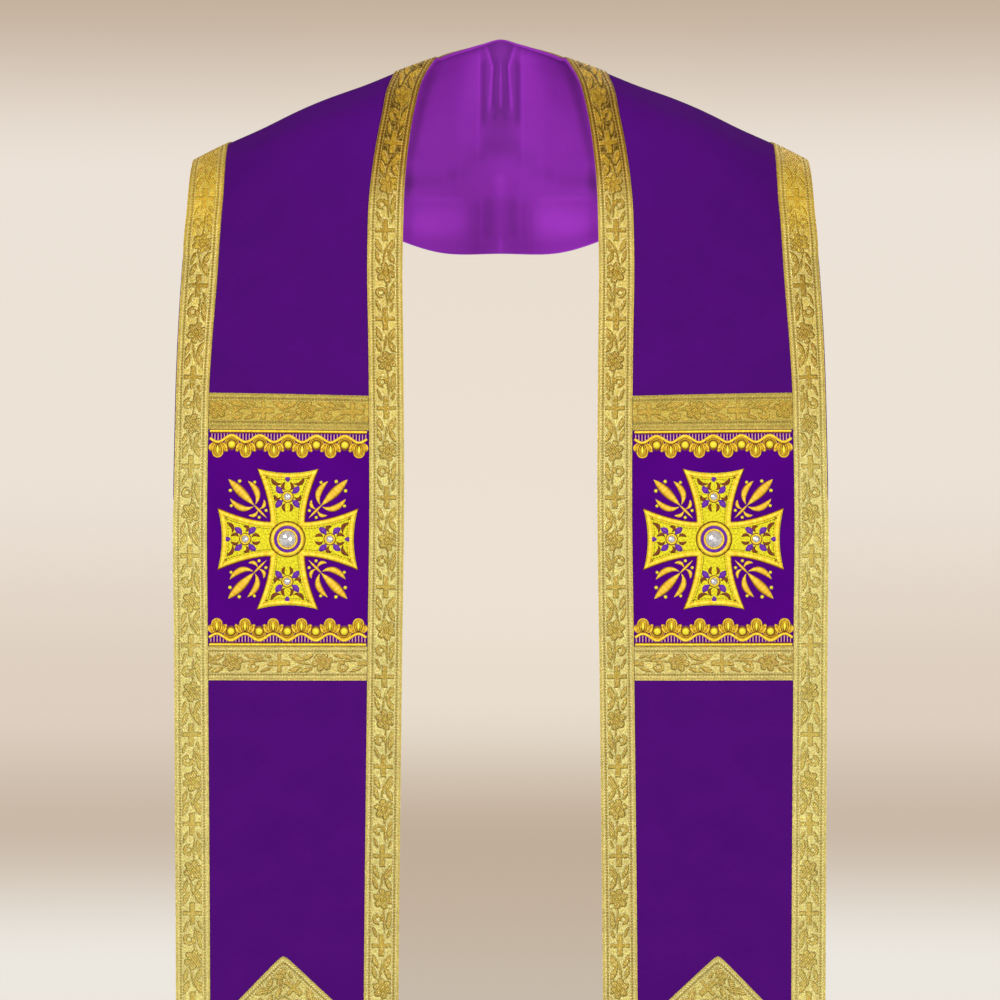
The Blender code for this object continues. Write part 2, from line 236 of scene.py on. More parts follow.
class Stitching:
    # Embroidery on a front: patches of raised thread in flat sizes, right and height in mm.
    def __init__(self, base):
        self.base = base
        self.patches = []

    def patch(self, right, height, lift, size, kind):
        right, height, lift = np.broadcast_arrays(right, height, lift)
        turned = np.sum(
            (right[1:, :-1] - right[:-1, :-1]) * (height[:-1, 1:] - height[:-1, :-1])
            - (height[1:, :-1] - height[:-1, :-1]) * (right[:-1, 1:] - right[:-1, :-1])
        )
        self.patches.append((right, height, lift, size, kind, turned > 0))

    def cord(self, right, height, half, rise, kind, closed=False, columns=7, base=0.0):
        # Thread over a line: across it the height is rise * sqrt(1 - t^2), and corners are mitred.
        path = np.stack([right, height], axis=1).astype(float)
        if closed:
            path = np.vstack([path, path[:1]])
        step = np.diff(path, axis=0)
        length = np.linalg.norm(step, axis=1, keepdims=True)
        step /= length
        before = np.vstack([step[-1:] if closed else step[:1], step])
        after = np.vstack([step, step[:1] if closed else step[-1:]])
        across = before + after
        across = np.stack([-across[:, 1], across[:, 0]], axis=1)
        across /= np.linalg.norm(across, axis=1, keepdims=True)
        straight = np.stack([-before[:, 1], before[:, 0]], axis=1)
        across /= np.maximum(0.5, np.sum(across * straight, axis=1))[:, None]
        half = np.broadcast_to(half, len(path))[:, None]
        t = np.sin(np.linspace(-math.pi / 2, math.pi / 2, columns))[None, :]
        x = path[:, :1] + across[:, :1] * half * t
        y = path[:, 1:] + across[:, 1:] * half * t
        lift = self.base + base + np.broadcast_to(rise, len(path))[:, None] * np.sqrt(1 - t * t)
        along = np.concatenate([[0.0], np.cumsum(length[:, 0])])
        size = np.stack(np.broadcast_arrays(along[:, None], t), axis=-1)
        self.patch(x, y, lift, size, kind)

    def leaf(self, right, height, half, rise, kind, base=0.0, point=0.75):
        # A cord along a smooth curve through these points, whose half width is half * sin^point.
        knotsOfLeaf = np.linspace(0.0, 1.0, len(right))
        v = np.linspace(0.0, 1.0, 13)
        right = np.polyval(np.polyfit(knotsOfLeaf, right, len(right) - 1), v)
        height = np.polyval(np.polyfit(knotsOfLeaf, height, len(height) - 1), v)
        swell = np.sin(math.pi * v**1.25) ** point
        self.cord(right, height, half * swell + 0.02, rise * swell**0.6, kind, base=base)

    def dome(self, right, height, radius, rise, kind, base=0.0, rings=5, spokes=20):
        # Rings of points whose height is rise * sqrt(1 - t^2), t from 0 in the middle to 1.
        angle = np.linspace(0.0, 2 * math.pi, spokes + 1)[:, None]
        t = np.sin(np.linspace(0.0, math.pi / 2, rings))[None, :]
        x = right + radius * t * np.cos(angle)
        y = height + radius * t * np.sin(angle)
        size = np.stack(np.broadcast_arrays(radius * angle, t), axis=-1)
        self.patch(x, y, self.base + base + rise * np.sqrt(1 - t * t), size, kind)

    def arc(self, right, height, radius, start, end, half, rise, kind, base=0.0, steps=15):
        # A cord along part of a circle, or along all of it, angles in degrees
        angle = np.radians(np.linspace(start, end, steps))
        x, y = right + radius * np.cos(angle), height + radius * np.sin(angle)
        whole = abs(end - start) >= 360
        if whole:
            x, y = x[:-1], y[:-1]
        self.cord(x, y, half, rise, kind, closed=whole, base=base, columns=5)

    def piece(self, name, side, materials):
        points, faces, size, kinds, start = [], [], [], [], 0
        for right, height, lift, flat, kind, turned in self.patches:
            rows, columns = right.shape
            along, across = front(right, height)
            points.append((along.ravel(), across.ravel(), lift.ravel()))
            quads = gridFaces(rows, columns, start)
            faces.append(quads[:, ::-1] if turned == (side > 0) else quads)
            size.append(flat.reshape(-1, 2))
            kinds.append(np.full(len(quads), kind))
            start += rows * columns
        along, across, lift = (np.concatenate(column) for column in zip(*points))
        places = surface(along, across, lift) * (side, 1, 1)
        return makePiece(
            name, places, np.vstack(faces), np.vstack(size), materials, np.concatenate(kinds)
        )


class Nodes:
    # Short ways to add and join shader nodes.
    def __init__(self, tree):
        self.tree = tree

    def add(self, kind, inputs=(), **settings):
        node = self.tree.nodes.new("ShaderNode" + kind)
        for key, value in settings.items():
            setattr(node, key, value)
        for key, value in dict(inputs).items():
            if isinstance(value, bpy.types.NodeSocket):
                self.tree.links.new(value, node.inputs[key])
            else:
                node.inputs[key].default_value = value
        return node.outputs

    def math(self, operation, a, b=0.0, c=0.0):
        return self.add("Math", {0: a, 1: b, 2: c}, operation=operation)[0]

    def plus(self, a, b):
        return self.math("ADD", a, b)

    def minus(self, a, b):
        return self.math("SUBTRACT", a, b)

    def times(self, a, b, more=None):
        # a * b, or a * b + more
        if more is None:
            return self.math("MULTIPLY", a, b)
        return self.math("MULTIPLY_ADD", a, b, more)

    def least(self, a, b):
        return self.math("MINIMUM", a, b)

    def most(self, a, b):
        return self.math("MAXIMUM", a, b)

    def away(self, a, b=0.0):
        # How far a lies from b
        return self.math("ABSOLUTE", self.minus(a, b) if b else a)

    def wave(self, a, length):
        return self.math("SINE", self.times(a, 2 * math.pi / length))

    def mix(self, factor, a, b):
        return self.add("Mix", {0: factor, 6: a, 7: b}, data_type="RGBA")[2]

    def soft(self, value, low, high, toLow=0.0, toHigh=1.0):
        # A smooth step from toLow to toHigh while the value goes from low to high
        inputs = {"Value": value, "From Min": low, "From Max": high}
        inputs |= {"To Min": toLow, "To Max": toHigh}
        return self.add("MapRange", inputs, interpolation_type="SMOOTHSTEP")[0]

    def within(self, value, low, high):
        return self.soft(value, low, high, 1.0, 0.0)

    def parts(self, vector):
        return self.add("SeparateXYZ", {0: vector})

    def vector(self, operation, a, b=(0.0, 0.0, 0.0)):
        return self.add("VectorMath", {0: a, 1: b}, operation=operation)[0]

    def length(self, a):
        return self.add("VectorMath", {0: a}, operation="LENGTH")["Value"]

    def noise(self, place, scale, detail, roughness=0.5):
        inputs = {"Vector": place, "Scale": scale, "Detail": detail, "Roughness": roughness}
        return self.add("TexNoise", inputs)["Fac"]

    def ellipse(self, place, x, y, wide, tall, turn=0.0):
        # Distance to an ellipse, near enough: (length in its own units - 1) * its smaller radius.
        inputs = {"Vector": place, "Location": (x, y, 0), "Rotation": (0, 0, math.radians(turn))}
        inputs["Scale"] = (wide, tall, 1)
        own = self.add("Mapping", inputs, vector_type="TEXTURE")[0]
        return self.times(self.length(own), min(wide, tall), -min(wide, tall))


def color(red, green, blue):
    # A colour picked from 0 to 255 as linear light.
    parts = np.array([red, green, blue]) / 255
    return (*np.where(parts <= 0.04045, parts / 12.92, ((parts + 0.055) / 1.055) ** 2.4), 1.0)


def startGroup(name, **values):
    # A shader node group that takes a place and these values.
    tree = bpy.data.node_groups.new(name, "ShaderNodeTree")
    tree.interface.new_socket("Place", in_out="INPUT", socket_type="NodeSocketVector")
    for label, value in values.items():
        socket = tree.interface.new_socket(label, in_out="INPUT", socket_type="NodeSocketFloat")
        socket.default_value = value
    return Nodes(tree), tree.nodes.new("NodeGroupInput").outputs


def endGroup(nodes, **results):
    # The values that the group puts out, each under its label.
    tree = nodes.tree
    for label in results:
        tree.interface.new_socket(label, in_out="OUTPUT", socket_type="NodeSocketFloat")
    last = tree.nodes.new("NodeGroupOutput")
    for label, socket in results.items():
        tree.links.new(socket, last.inputs[label])
    return tree


def makeMaterial(name, roughness, metallic=0.0, shine=0.25):
    # A Principled material, its own values set on the shader's sockets.
    made = bpy.data.materials.new(name)
    made.use_nodes = True
    shader = made.node_tree.nodes["Principled BSDF"]
    shader.inputs["Roughness"].default_value = roughness
    shader.inputs["Metallic"].default_value = metallic
    shader.inputs["Specular IOR Level"].default_value = shine
    nodes = Nodes(made.node_tree)
    return made, nodes, shader, nodes.add("UVMap", uv_map="size")["UV"]


def dress(nodes, shader, tone, height=None, distance=0.0, strength=1.0):
    # The material's colour, and a bump from the height.
    nodes.tree.links.new(tone, shader.inputs["Base Color"])
    if height is not None:
        normal = nodes.add("Bump", {"Height": height, "Distance": distance, "Strength": strength})
        nodes.tree.links.new(normal[0], shader.inputs["Normal"])


# Figures of the galloon's repeat in mm, as charted. The cross is at 0, 0 and y grows towards
# the next one.
galloonChart = dict(
    repeat=62.6, start=-5.5,
    # the cross: half width and half height of its upright and of its beam, and the upright's rise
    upright=(1.75, 7.7), beam=(6.6, 1.35), rise=0.2,
    # each leaf or stem from x, y to x, y and its half width
    leaves=(
        (6.4, 56.4, 2.6, 47.2, 1.8), (-6.6, 55.8, -1.8, 46.6, 2.2), (6.4, 48.4, 3.4, 39.4, 1.5),
        (-2.4, 46.8, -6.4, 38.8, 1.9), (-0.8, 50.4, 1.0, 40.6, 0.7), (-6.2, 24.6, -3.6, 11.6, 1.9),
        (-1.2, 26.0, -1.8, 9.6, 0.7), (5.8, 12.8, 3.2, 5.8, 1.1), (-5.9, 10.8, -3.8, 5.6, 0.9),
    ),
    # the flower: its middle and radii, and its petals' number, way out, radii and turn
    rose=(-0.8, 32.6), round=(4.6, 4.9), heart=1.7,
    petals=6, out=4.3, petal=(2.5, 2.3), petalTurn=18, stretch=1.15,
    # an open curl: its middle, radius and half width, and the middle and radius of its opening
    curl=(2.5, 18.4, 2.7), curlHalf=1.15, opening=(0.4, 15.6, 1.7),
    # unevenness of the drawing: its scale and how far it goes
    wobble=(0.8, 1.7),
    # where the figures give way to the border, the row of eyes, its pitch, and the two cords'
    # crest and distance, all from the middle
    border=(6.5, 6.9), eyes=8.2, eyePitch=2.0, cords=(9.6, 2.75),
    # pitch of the hatching and of the threads, and bright and dull specks per mm
    hatch=1.7, thread=0.75, speck=(1.6, 1.15, 1.0),
)


def makeGalloonGroup(chart):
    # The woven repeat: figures and their outlines between borders of looped cord with dark eyes.
    n, given = startGroup("galloonWeave")
    straight, half = given["Place"], galloonWidth / 2
    scale, reach = chart["wobble"]
    inputs = {"Vector": straight, "Scale": scale, "Detail": 2.0}
    wobble = n.vector("SUBTRACT", n.add("TexNoise", inputs)["Color"], (0.5, 0.5, 0.5))
    moved = n.vector("ADD", straight, n.vector("MULTIPLY", wobble, (reach, reach, reach)))
    flat, parts = n.parts(straight), n.parts(moved)
    x = n.minus(parts["X"], half)
    y = n.math("WRAP", parts["Y"], chart["repeat"] + chart["start"], chart["start"])
    crossY = n.math("WRAP", parts["Y"], chart["repeat"] / 2, -chart["repeat"] / 2)
    place = n.add("CombineXYZ", {"X": x, "Y": y})[0]
    farX, edgeX = n.away(x), n.away(flat["X"], half)
    (wide, tall), (long, thick) = chart["upright"], chart["beam"]
    upright = n.most(n.minus(farX, wide), n.minus(n.away(crossY, chart["rise"]), tall))
    beam = n.most(n.minus(farX, long), n.minus(n.away(crossY), thick))
    cross = shape = n.least(upright, beam)
    for x1, y1, x2, y2, thick in chart["leaves"]:
        turned = math.degrees(math.atan2(x1 - x2, y2 - y1))
        long = math.hypot(x2 - x1, y2 - y1) / 2
        leaf = n.ellipse(place, (x1 + x2) / 2, (y1 + y2) / 2, thick, long, turned)
        shape = n.least(shape, leaf)
    roseX, roseY = chart["rose"]
    rose = n.ellipse(place, roseX, roseY, *chart["round"])
    veins = n.away(n.ellipse(place, roseX, roseY, chart["heart"], chart["heart"]))
    for petal in range(chart["petals"]):
        angle = 360 * petal / chart["petals"] + chart["petalTurn"]
        ahead, up = math.cos(math.radians(angle)), chart["stretch"] * math.sin(math.radians(angle))
        spot = roseX + chart["out"] * ahead, roseY + chart["out"] * up
        blade = n.ellipse(place, *spot, *chart["petal"], angle)
        rose = n.least(rose, blade)
        veins = n.least(veins, n.away(blade, -0.35))
    shape = n.least(shape, rose)
    openX, openY, radius = chart["opening"]
    opening = n.times(n.ellipse(place, openX, openY, radius, radius), -1.0)
    curlX, curlY, radius = chart["curl"]
    curl = n.minus(n.away(n.ellipse(place, curlX, curlY, radius, radius)), chart["curlHalf"])
    shape = n.least(shape, n.most(curl, opening))
    inside = n.within(edgeX, *chart["border"])
    motif = n.times(n.within(shape, -0.2, 0.3), inside)
    # Outline: dark lines in the grooves round the figures, painted shade there, and the rose's
    # veins.
    lines = n.within(n.away(shape, 0.25), 0.05, 0.5)
    roseLines = n.times(n.within(veins, 0.1, 0.45), n.within(rose, -0.4, 0.0))
    outline = n.times(n.most(lines, roseLines), inside)
    # Shine: a painted highlight in a band just outside the figures.
    shine = n.times(n.within(n.away(shape, 0.95), 0.15, 0.6), inside)
    leafy = n.times(motif, n.soft(cross, 0.0, 0.5))
    vein = n.times(n.within(n.away(shape, -1.25), 0.1, 0.5), leafy)
    hatch = n.times(n.wave(n.plus(x, n.times(y, 0.7)), chart["hatch"]), leafy)
    border = n.minus(1.0, inside)
    phase = n.math("FRACT", n.times(flat["Y"], 1 / chart["eyePitch"]))
    off = n.times(n.minus(phase, 0.5), chart["eyePitch"])
    eyes = n.add("CombineXYZ", {"X": n.minus(edgeX, chart["eyes"]), "Y": off})[0]
    eyes = n.times(n.within(n.length(eyes), 0.45, 0.85), border)
    # Two bright cords in each border, their strands winding round them.
    crest, apart = chart["cords"]
    strand = n.wave(n.times(edgeX, 0.9, flat["Y"]), chart["eyePitch"])
    cord = n.math("COSINE", n.times(n.minus(edgeX, crest), 2 * math.pi / apart))
    cord = n.times(n.times(n.times(cord, 0.5, 0.5), n.times(strand, 0.42, 0.58)), border)
    cell = n.vector("FLOOR", n.vector("MULTIPLY", straight, chart["speck"]))
    glint = n.add("TexWhiteNoise", {"Vector": cell}, noise_dimensions="3D")["Value"]
    height = n.times(motif, 0.5, n.times(cord, 0.5))
    raised = ((outline, -0.35), (hatch, 0.1), (eyes, -0.5), (glint, 0.22))
    for effect, share in (*raised, (n.wave(flat["Y"], chart["thread"]), 0.05)):
        height = n.times(effect, share, height)
    return endGroup(
        n, Motif=motif, Outline=outline, Shine=shine, Vein=vein, Hatch=hatch, Border=border,
        Cord=cord, Eye=eyes, Glint=glint, Height=height,
    )


def makeThreadGroup():
    # Parallel threads: bands across the place's X, each a little lighter or darker.
    n, given = startGroup("threads", Pitch=0.5)
    count = n.math("DIVIDE", n.parts(given["Place"])["X"], given["Pitch"])
    ripple = n.away(n.math("SINE", n.times(count, math.pi)))
    own = n.add("TexWhiteNoise", {"W": n.math("FLOOR", count)}, noise_dimensions="1D")["Value"]
    patchy = n.noise(given["Place"], 0.35, 3.0)
    return endGroup(n, Shade=n.times(own, 0.5, n.times(patchy, 0.5)), Height=ripple)


def makeWeaveGroup():
    # Plain weave: over and under threads both ways, and a slow unevenness of the dye.
    n, given = startGroup("weave", Pitch=0.7)
    turns = n.math("DIVIDE", 2 * math.pi, given["Pitch"])
    parts = n.parts(given["Place"])
    warp, weft = (n.math("SINE", n.times(parts[way], turns)) for way in "XY")
    slub = n.noise(n.vector("MULTIPLY", given["Place"], (0.12, 1.6, 1.0)), 1.0, 2.0)
    shade = n.times(n.noise(given["Place"], 0.03, 4.0), 0.6, n.times(slub, 0.4))
    return endGroup(n, Shade=shade, Height=n.times(warp, weft))


galloonGroup = makeGalloonGroup(galloonChart)
threadGroup = makeThreadGroup()
weaveGroup = makeWeaveGroup()

# Dark purple cloth; light and dark are the ends of its faint unevenness, ridge is the colour of its
# painted light towards the shoulders, and trough that of painted shade.
clothLook = dict(
    dark=color(69, 9, 108), light=color(74, 11, 114), ridge=color(89, 13, 140),
    trough=color(58, 8, 92), roughness=0.9, shine=0.05, pitch=0.7,
)
# Bright satin of the lining; ridge and trough are the colours of the painted light on its folds'
# ridges and of the painted shade in their troughs, in broad patches and beside the galloons
liningLook = dict(
    dark=color(162, 51, 202), light=color(168, 55, 208), ridge=color(202, 72, 246),
    trough=color(116, 36, 146), roughness=0.6, shine=0.15, pitch=0.4,
)
# Finer, matt cloth under the embroidery
panelLook = dict(
    dark=color(71, 0, 117), light=color(77, 0, 124), roughness=0.88, shine=0.05, pitch=0.5
)


def makeCloth(name, look):
    # Woven cloth; where the look has a ridge colour, the piece's shade attribute paints light
    # towards it and shade towards the trough colour.
    made, n, shader, size = makeMaterial(name, look["roughness"], shine=look["shine"])
    woven = n.add("Group", {"Place": size, "Pitch": look["pitch"]}, node_tree=weaveGroup)
    tone = n.mix(n.soft(woven["Shade"], 0.35, 0.65), look["dark"], look["light"])
    if "ridge" in look:
        fold = n.add("Attribute", attribute_name="shade")["Fac"]
        tone = n.mix(n.soft(fold, 0.0, 1.0), tone, look["ridge"])
        tone = n.mix(n.soft(fold, 0.0, -1.0), tone, look["trough"])
    dress(n, shader, tone, woven["Height"], 0.00006, 0.5)
    return made


# Gold of each galloon: its ground, raised figures, their outlines, painted highlights round them,
# border cords and eyes, and how strongly the figures stand out. The looks are lit and shaded
# copies of one gold, the pieces' differing partly as painted sheen: towards the shoulders the neck
# galloon is painted darker and warmer as painted reflection, with painted highlights on its
# figures, and the outer galloon's top is painted lighter as painted light.
galloonParts = ("ground", "figure", "outline", "shine", "border", "eye")
galloonLooks = dict(
    low=(
        (206, 194, 112), (176, 146, 44), (144, 118, 34),
        (238, 230, 160), (190, 168, 82), (130, 106, 34), 0.8,
    ),
    outerLow=(
        (210, 198, 116), (184, 158, 58), (158, 132, 46),
        (238, 230, 158), (200, 182, 96), (150, 128, 54), 0.7,
    ),
    middle=(
        (204, 182, 88), (168, 134, 32), (138, 108, 26),
        (242, 230, 154), (184, 158, 64), (118, 94, 28), 0.85,
    ),
    neckTop=(
        (104, 76, 8), (196, 157, 40), (70, 47, 4),
        (240, 202, 96), (134, 99, 20), (80, 56, 8), 0.95,
    ),
    neckRidge=(
        (112, 80, 8), (244, 196, 52), (70, 46, 4),
        (255, 224, 110), (150, 112, 30), (86, 60, 12), 0.95,
    ),
    outerTop=(
        (244, 208, 76), (218, 176, 44), (186, 144, 34),
        (255, 242, 150), (220, 184, 68), (166, 132, 44), 0.42,
    ),
    upperBand=(
        (186, 162, 68), (188, 148, 40), (160, 128, 40),
        (214, 196, 108), (166, 144, 60), (146, 122, 50), 0.42,
    ),
    lowerBand=(
        (206, 190, 106), (180, 146, 46), (154, 126, 42),
        (238, 228, 158), (186, 164, 80), (138, 116, 46), 0.75,
    ),
    gable=(
        (202, 188, 104), (182, 152, 54), (148, 126, 50),
        (234, 226, 156), (184, 166, 82), (132, 114, 48), 0.68,
    ),
)


# The finish that all galloons share: noises as scale, detail and roughness, and from which to
# which noise they change the value or the hue, and between what
goldLook = dict(
    roughness=0.45, metallic=0.35, bump=0.0007, bumpStrength=0.9,
    speck=(1.1, 4.0, 0.75), speckValue=(0.32, 0.68, 0.74, 1.24), speckHeight=0.35,
    patchy=(0.05, 3.0), patchyValue=(0.35, 0.65, -0.06, 0.06), glintValue=0.28, hatchValue=0.3,
    dye=(0.45, 2.0), dyeHue=(0.35, 0.65, 0.488, 0.512), zoneEdgeNoise=0.06,
    mottle=(0.62, 3.0, 0.6), mottleStretch=(1.3, 0.8, 1.0), mottleHeight=0.8,
    # effects with their shares and colours; all but those of the edges go with the contrast
    figures=(("Shine", 0.4, "shine"), ("Vein", 0.22, "shine"), ("Outline", 0.15, "outline")),
    edges=(("Border", 0.9, "border"), ("Cord", 0.9, "shine"), ("Eye", 0.45, "eye")),
    # light and dull: where the mottle paints sheen in the shine colour and dull patches in the
    # outline colour
    light=(0.52, 0.68, 0.6), dull=(0.48, 0.34, 0.5),
    # the figures' painted relief: the way towards the light in mm, on whose side a highlight is
    # painted, and the share of the shadow painted on the other side
    towards=(0.5, -0.55, 0.0), shadow=0.7,
)


def goldTone(n, woven, relief, mottle, label):
    # The ground, and over it in turn each effect of the weave with its share and its colour, among
    # them painted highlights round the figures, painted sheen in patches, and a painted highlight
    # and shadow on the figures' sides.
    *tones, strong = galloonLooks[label]
    look = {part: color(*tone) for part, tone in zip(galloonParts, tones)}
    over = [(n.times(woven[at], share * strong), part) for at, share, part in goldLook["figures"]]
    for part, (start, end, share) in (("shine", goldLook["light"]), ("outline", goldLook["dull"])):
        over.append((n.soft(mottle, start, end, 0.0, share * strong), part))
    over += [(n.times(woven[at], share), part) for at, share, part in goldLook["edges"]]
    # Painted highlight on the figures' sides towards the light, and painted shadow in the eyes'
    # colour on the far sides.
    over.append((n.soft(relief, 0.0, 1.0, 0.0, strong), "shine"))
    over.append((n.soft(relief, 0.0, -1.0, 0.0, goldLook["shadow"] * strong), "eye"))
    tone = n.mix(n.times(woven["Motif"], strong), look["ground"], look["figure"])
    for share, part in over:
        tone = n.mix(share, tone, look[part])
    return tone


def makeGalloon(name, base, *zones):
    # Each zone is a look and the heights in mm between which it takes over going up, painting light
    # and shade by height.
    look = goldLook
    made, n, shader, size = makeMaterial(name, look["roughness"], look["metallic"])
    woven = n.add("Group", {"Place": size}, node_tree=galloonGroup)
    speck, patchy, dye = (n.noise(size, *look[one]) for one in ("speck", "patchy", "dye"))
    mottle = n.noise(n.vector("MULTIPLY", size, look["mottleStretch"]), *look["mottle"])
    # The relief is how far the weave a little way towards the light differs from here; it paints
    # highlight and shadow on the figures' sides.
    beyond = n.vector("ADD", size, look["towards"])
    beyond = n.add("Group", {"Place": beyond}, node_tree=galloonGroup)["Motif"]
    relief = n.minus(beyond, woven["Motif"])
    tone = goldTone(n, woven, relief, mottle, base)
    # Painted light and shade by height; the dye noise blurs where each zone takes over.
    level = n.parts(n.add("TexCoord")["Object"])["Z"]
    level = n.times(n.minus(dye, 0.5), look["zoneEdgeNoise"], level)
    for label, low, high in zones:
        above = goldTone(n, woven, relief, mottle, label)
        tone = n.mix(n.soft(level, low * mm, high * mm), tone, above)
    value = n.plus(n.soft(speck, *look["speckValue"]), n.soft(patchy, *look["patchyValue"]))
    value = n.times(n.minus(woven["Glint"], 0.5), look["glintValue"], value)
    value = n.times(woven["Hatch"], look["hatchValue"], value)
    hue = {"Color": tone, "Value": value, "Hue": n.soft(dye, *look["dyeHue"])}
    tone = n.add("HueSaturation", hue)[0]
    height = n.times(mottle, look["mottleHeight"], woven["Height"])
    height = n.times(speck, look["speckHeight"], height)
    dress(n, shader, tone, height, look["bump"], look["bumpStrength"])
    return made


# Threads: the ends of their unevenness, their colour at a cord's edges as painted shade where the
# cord turns away, metallic share, roughness
threadLooks = dict(
    gold=((240, 198, 40), (255, 232, 72), (190, 130, 20), 0.1, 0.4),
    yellow=((240, 226, 40), (255, 246, 90), (206, 176, 30), 0.2, 0.45),
    olive=((170, 132, 20), (216, 180, 36), (120, 84, 14), 0.2, 0.4),
    brown=((92, 40, 14), (124, 58, 20), None, 0.0, 0.4),
    mauve=((196, 140, 150), (226, 180, 166), (110, 50, 110), 0.0, 0.4),
    violet=((76, 14, 140), (108, 36, 172), None, 0.0, 0.4),
    amber=((222, 172, 36), (248, 212, 66), (160, 104, 20), 0.1, 0.4),
)
# Filling stitch under the cross: its colours, the pitch of its rows, a stitch's length in mm, and
# how far each row starts further on, as a share of it
fieldLook = dict(
    dark=color(196, 186, 10), light=color(250, 242, 44), joint=color(140, 126, 8),
    pitch=0.55, stitch=1.5, onward=0.37, padding=(0.75, 3.0, 0.7), paddingHeight=1.4,
)


def makeThread(name, dark, light, edge, metallic, roughness):
    # Satin stitch: threads side by side across the cord that they cover, with painted shade at its
    # edges.
    made, n, shader, size = makeMaterial(name, roughness, metallic)
    rows = n.add("Group", {"Place": size}, node_tree=threadGroup)
    tone = n.mix(n.soft(rows["Shade"], 0.25, 0.75), color(*dark), color(*light))
    if edge is not None:
        tone = n.mix(n.soft(n.away(n.parts(size)["Y"]), 0.5, 1.0), tone, color(*edge))
    dress(n, shader, tone, rows["Height"], 0.00012, 0.6)
    return made


def makeField(name, look):
    # Short threads side by side over a padding that makes them uneven.
    made, n, shader, size = makeMaterial(name, 0.5, 0.05, 0.2)
    rows = n.add("Group", {"Place": size, "Pitch": look["pitch"]}, node_tree=threadGroup)
    parts = n.parts(size)
    row = n.math("FLOOR", n.math("DIVIDE", parts["X"], look["pitch"]))
    run = n.times(parts["Y"], 1 / look["stitch"], n.times(row, look["onward"]))
    ends = n.soft(n.away(n.math("FRACT", run), 0.5), 0.3, 0.5)
    padding = n.noise(size, *look["padding"])
    tone = n.mix(n.soft(padding, 0.34, 0.62), look["dark"], look["light"])
    height = n.times(ends, -0.6, n.times(rows["Height"], 0.4))
    height = n.times(padding, look["paddingHeight"], height)
    dress(n, shader, n.mix(n.times(ends, 0.45), tone, look["joint"]), height, 0.0003, 0.8)
    return made


def makeStone(name):
    # Clear stone with foil behind it
    made, n, shader, size = makeMaterial(name, 0.08, 0.6, 0.5)
    shader.inputs["Coat Weight"].default_value = 1.0
    cloudy = n.soft(n.noise(size, 0.35, 2.0), 0.35, 0.65)
    dress(n, shader, n.mix(cloudy, color(214, 216, 232), color(255, 255, 255)))
    return made


clothMaterial = makeCloth("purpleCloth", clothLook)
liningMaterial = makeCloth("purpleSatin", liningLook)
panelMaterial = makeCloth("panelCloth", panelLook)
# Zones by height: the middle one, then painted shade and reflection at the neck galloon's top and
# ridge, and painted light at the outer galloon's top.
middleZone = ("middle", -300.0, -220.0)
neckZones = (middleZone, ("neckTop", -120.0, -76.0), ("neckRidge", -36.0, -8.0))
outerZones = (middleZone, ("outerTop", -150.0, -110.0))
neckGalloonMaterial = makeGalloon("goldGalloonNeck", "low", *neckZones)
outerGalloonMaterial = makeGalloon("goldGalloonOuter", "outerLow", *outerZones)
upperGalloonMaterial = makeGalloon("goldGalloonUpper", "upperBand")
lowerGalloonMaterial = makeGalloon("goldGalloonLower", "lowerBand")
gableGalloonMaterial = makeGalloon("goldGalloonGable", "gable")
threadMaterials = {
    label: makeThread(f"{label}Thread", *look) for label, look in threadLooks.items()
}
threadMaterials["field"] = makeField("fieldThread", fieldLook)
stoneMaterial = makeStone("clearStone")
print("materials are ready")

stripEnd = knots[-1]


def spread(low, high, step):
    # Even places from low to high, about this step apart
    return np.linspace(low, high, max(2, int(round((high - low) / step)) + 1))


def eased(value, start, end):
    # From 0 at start to 1 at end, by 3 t^2 - 2 t^3
    part = np.clip((value - start) / (end - start), 0, 1)
    return part * part * (3 - 2 * part)


# How much of the layer below shows beside the galloon, in mm: the lining's roll round the neck
# down to the chest, and the cloth's edge at the outer side of the upper part. Heights in mm.
edgeLook = dict(
    roll=0.4, shown=edgeLip, hidden=0.12, neckEnd=(-112.0, -140.0),
    outer=(-112.0, -135.0, -312.0, -330.0),
)


def neckLip(rows):
    gone = eased(rows, *alongAt(edgeLook["neckEnd"]))
    return edgeLook["roll"] + (edgeLook["hidden"] - edgeLook["roll"]) * gone


def outerLip(rows):
    top, upper, lower, bottom = alongAt(edgeLook["outer"])
    there = eased(rows, top, upper) * (1 - eased(rows, lower, bottom))
    return edgeLook["hidden"] + (edgeLook["shown"] - edgeLook["hidden"]) * there


def stripGrid(rows, start, end, columns):
    # A grid between two distances across, each given as a share of the width plus mm.
    width = widthAt(rows)[:, None]
    low = width * start[0] + np.reshape(start[1], (-1, 1))
    high = width * end[0] + np.reshape(end[1], (-1, 1))
    across = low + (high - low) * np.linspace(0.0, 1.0, columns)[None, :]
    return np.broadcast_to(rows[:, None], across.shape), across


def frontGrid(levels, margin, columns, rows):
    # A grid on a front between two heights, this far in from its edges.
    right, height = np.meshgrid(np.linspace(-1, 1, columns), np.linspace(*levels, rows))
    along = alongAt(height)
    right = right * (widthAt(along) / 2 - margin)
    return along, widthAt(along) / 2 + right, right, height


def sewOn(piece, trims, node=None):
    # Hides the node that the piece stands for, and adds the piece to the sheet's trims.
    if node is not None:
        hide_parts(node)
    trims.append(piece)


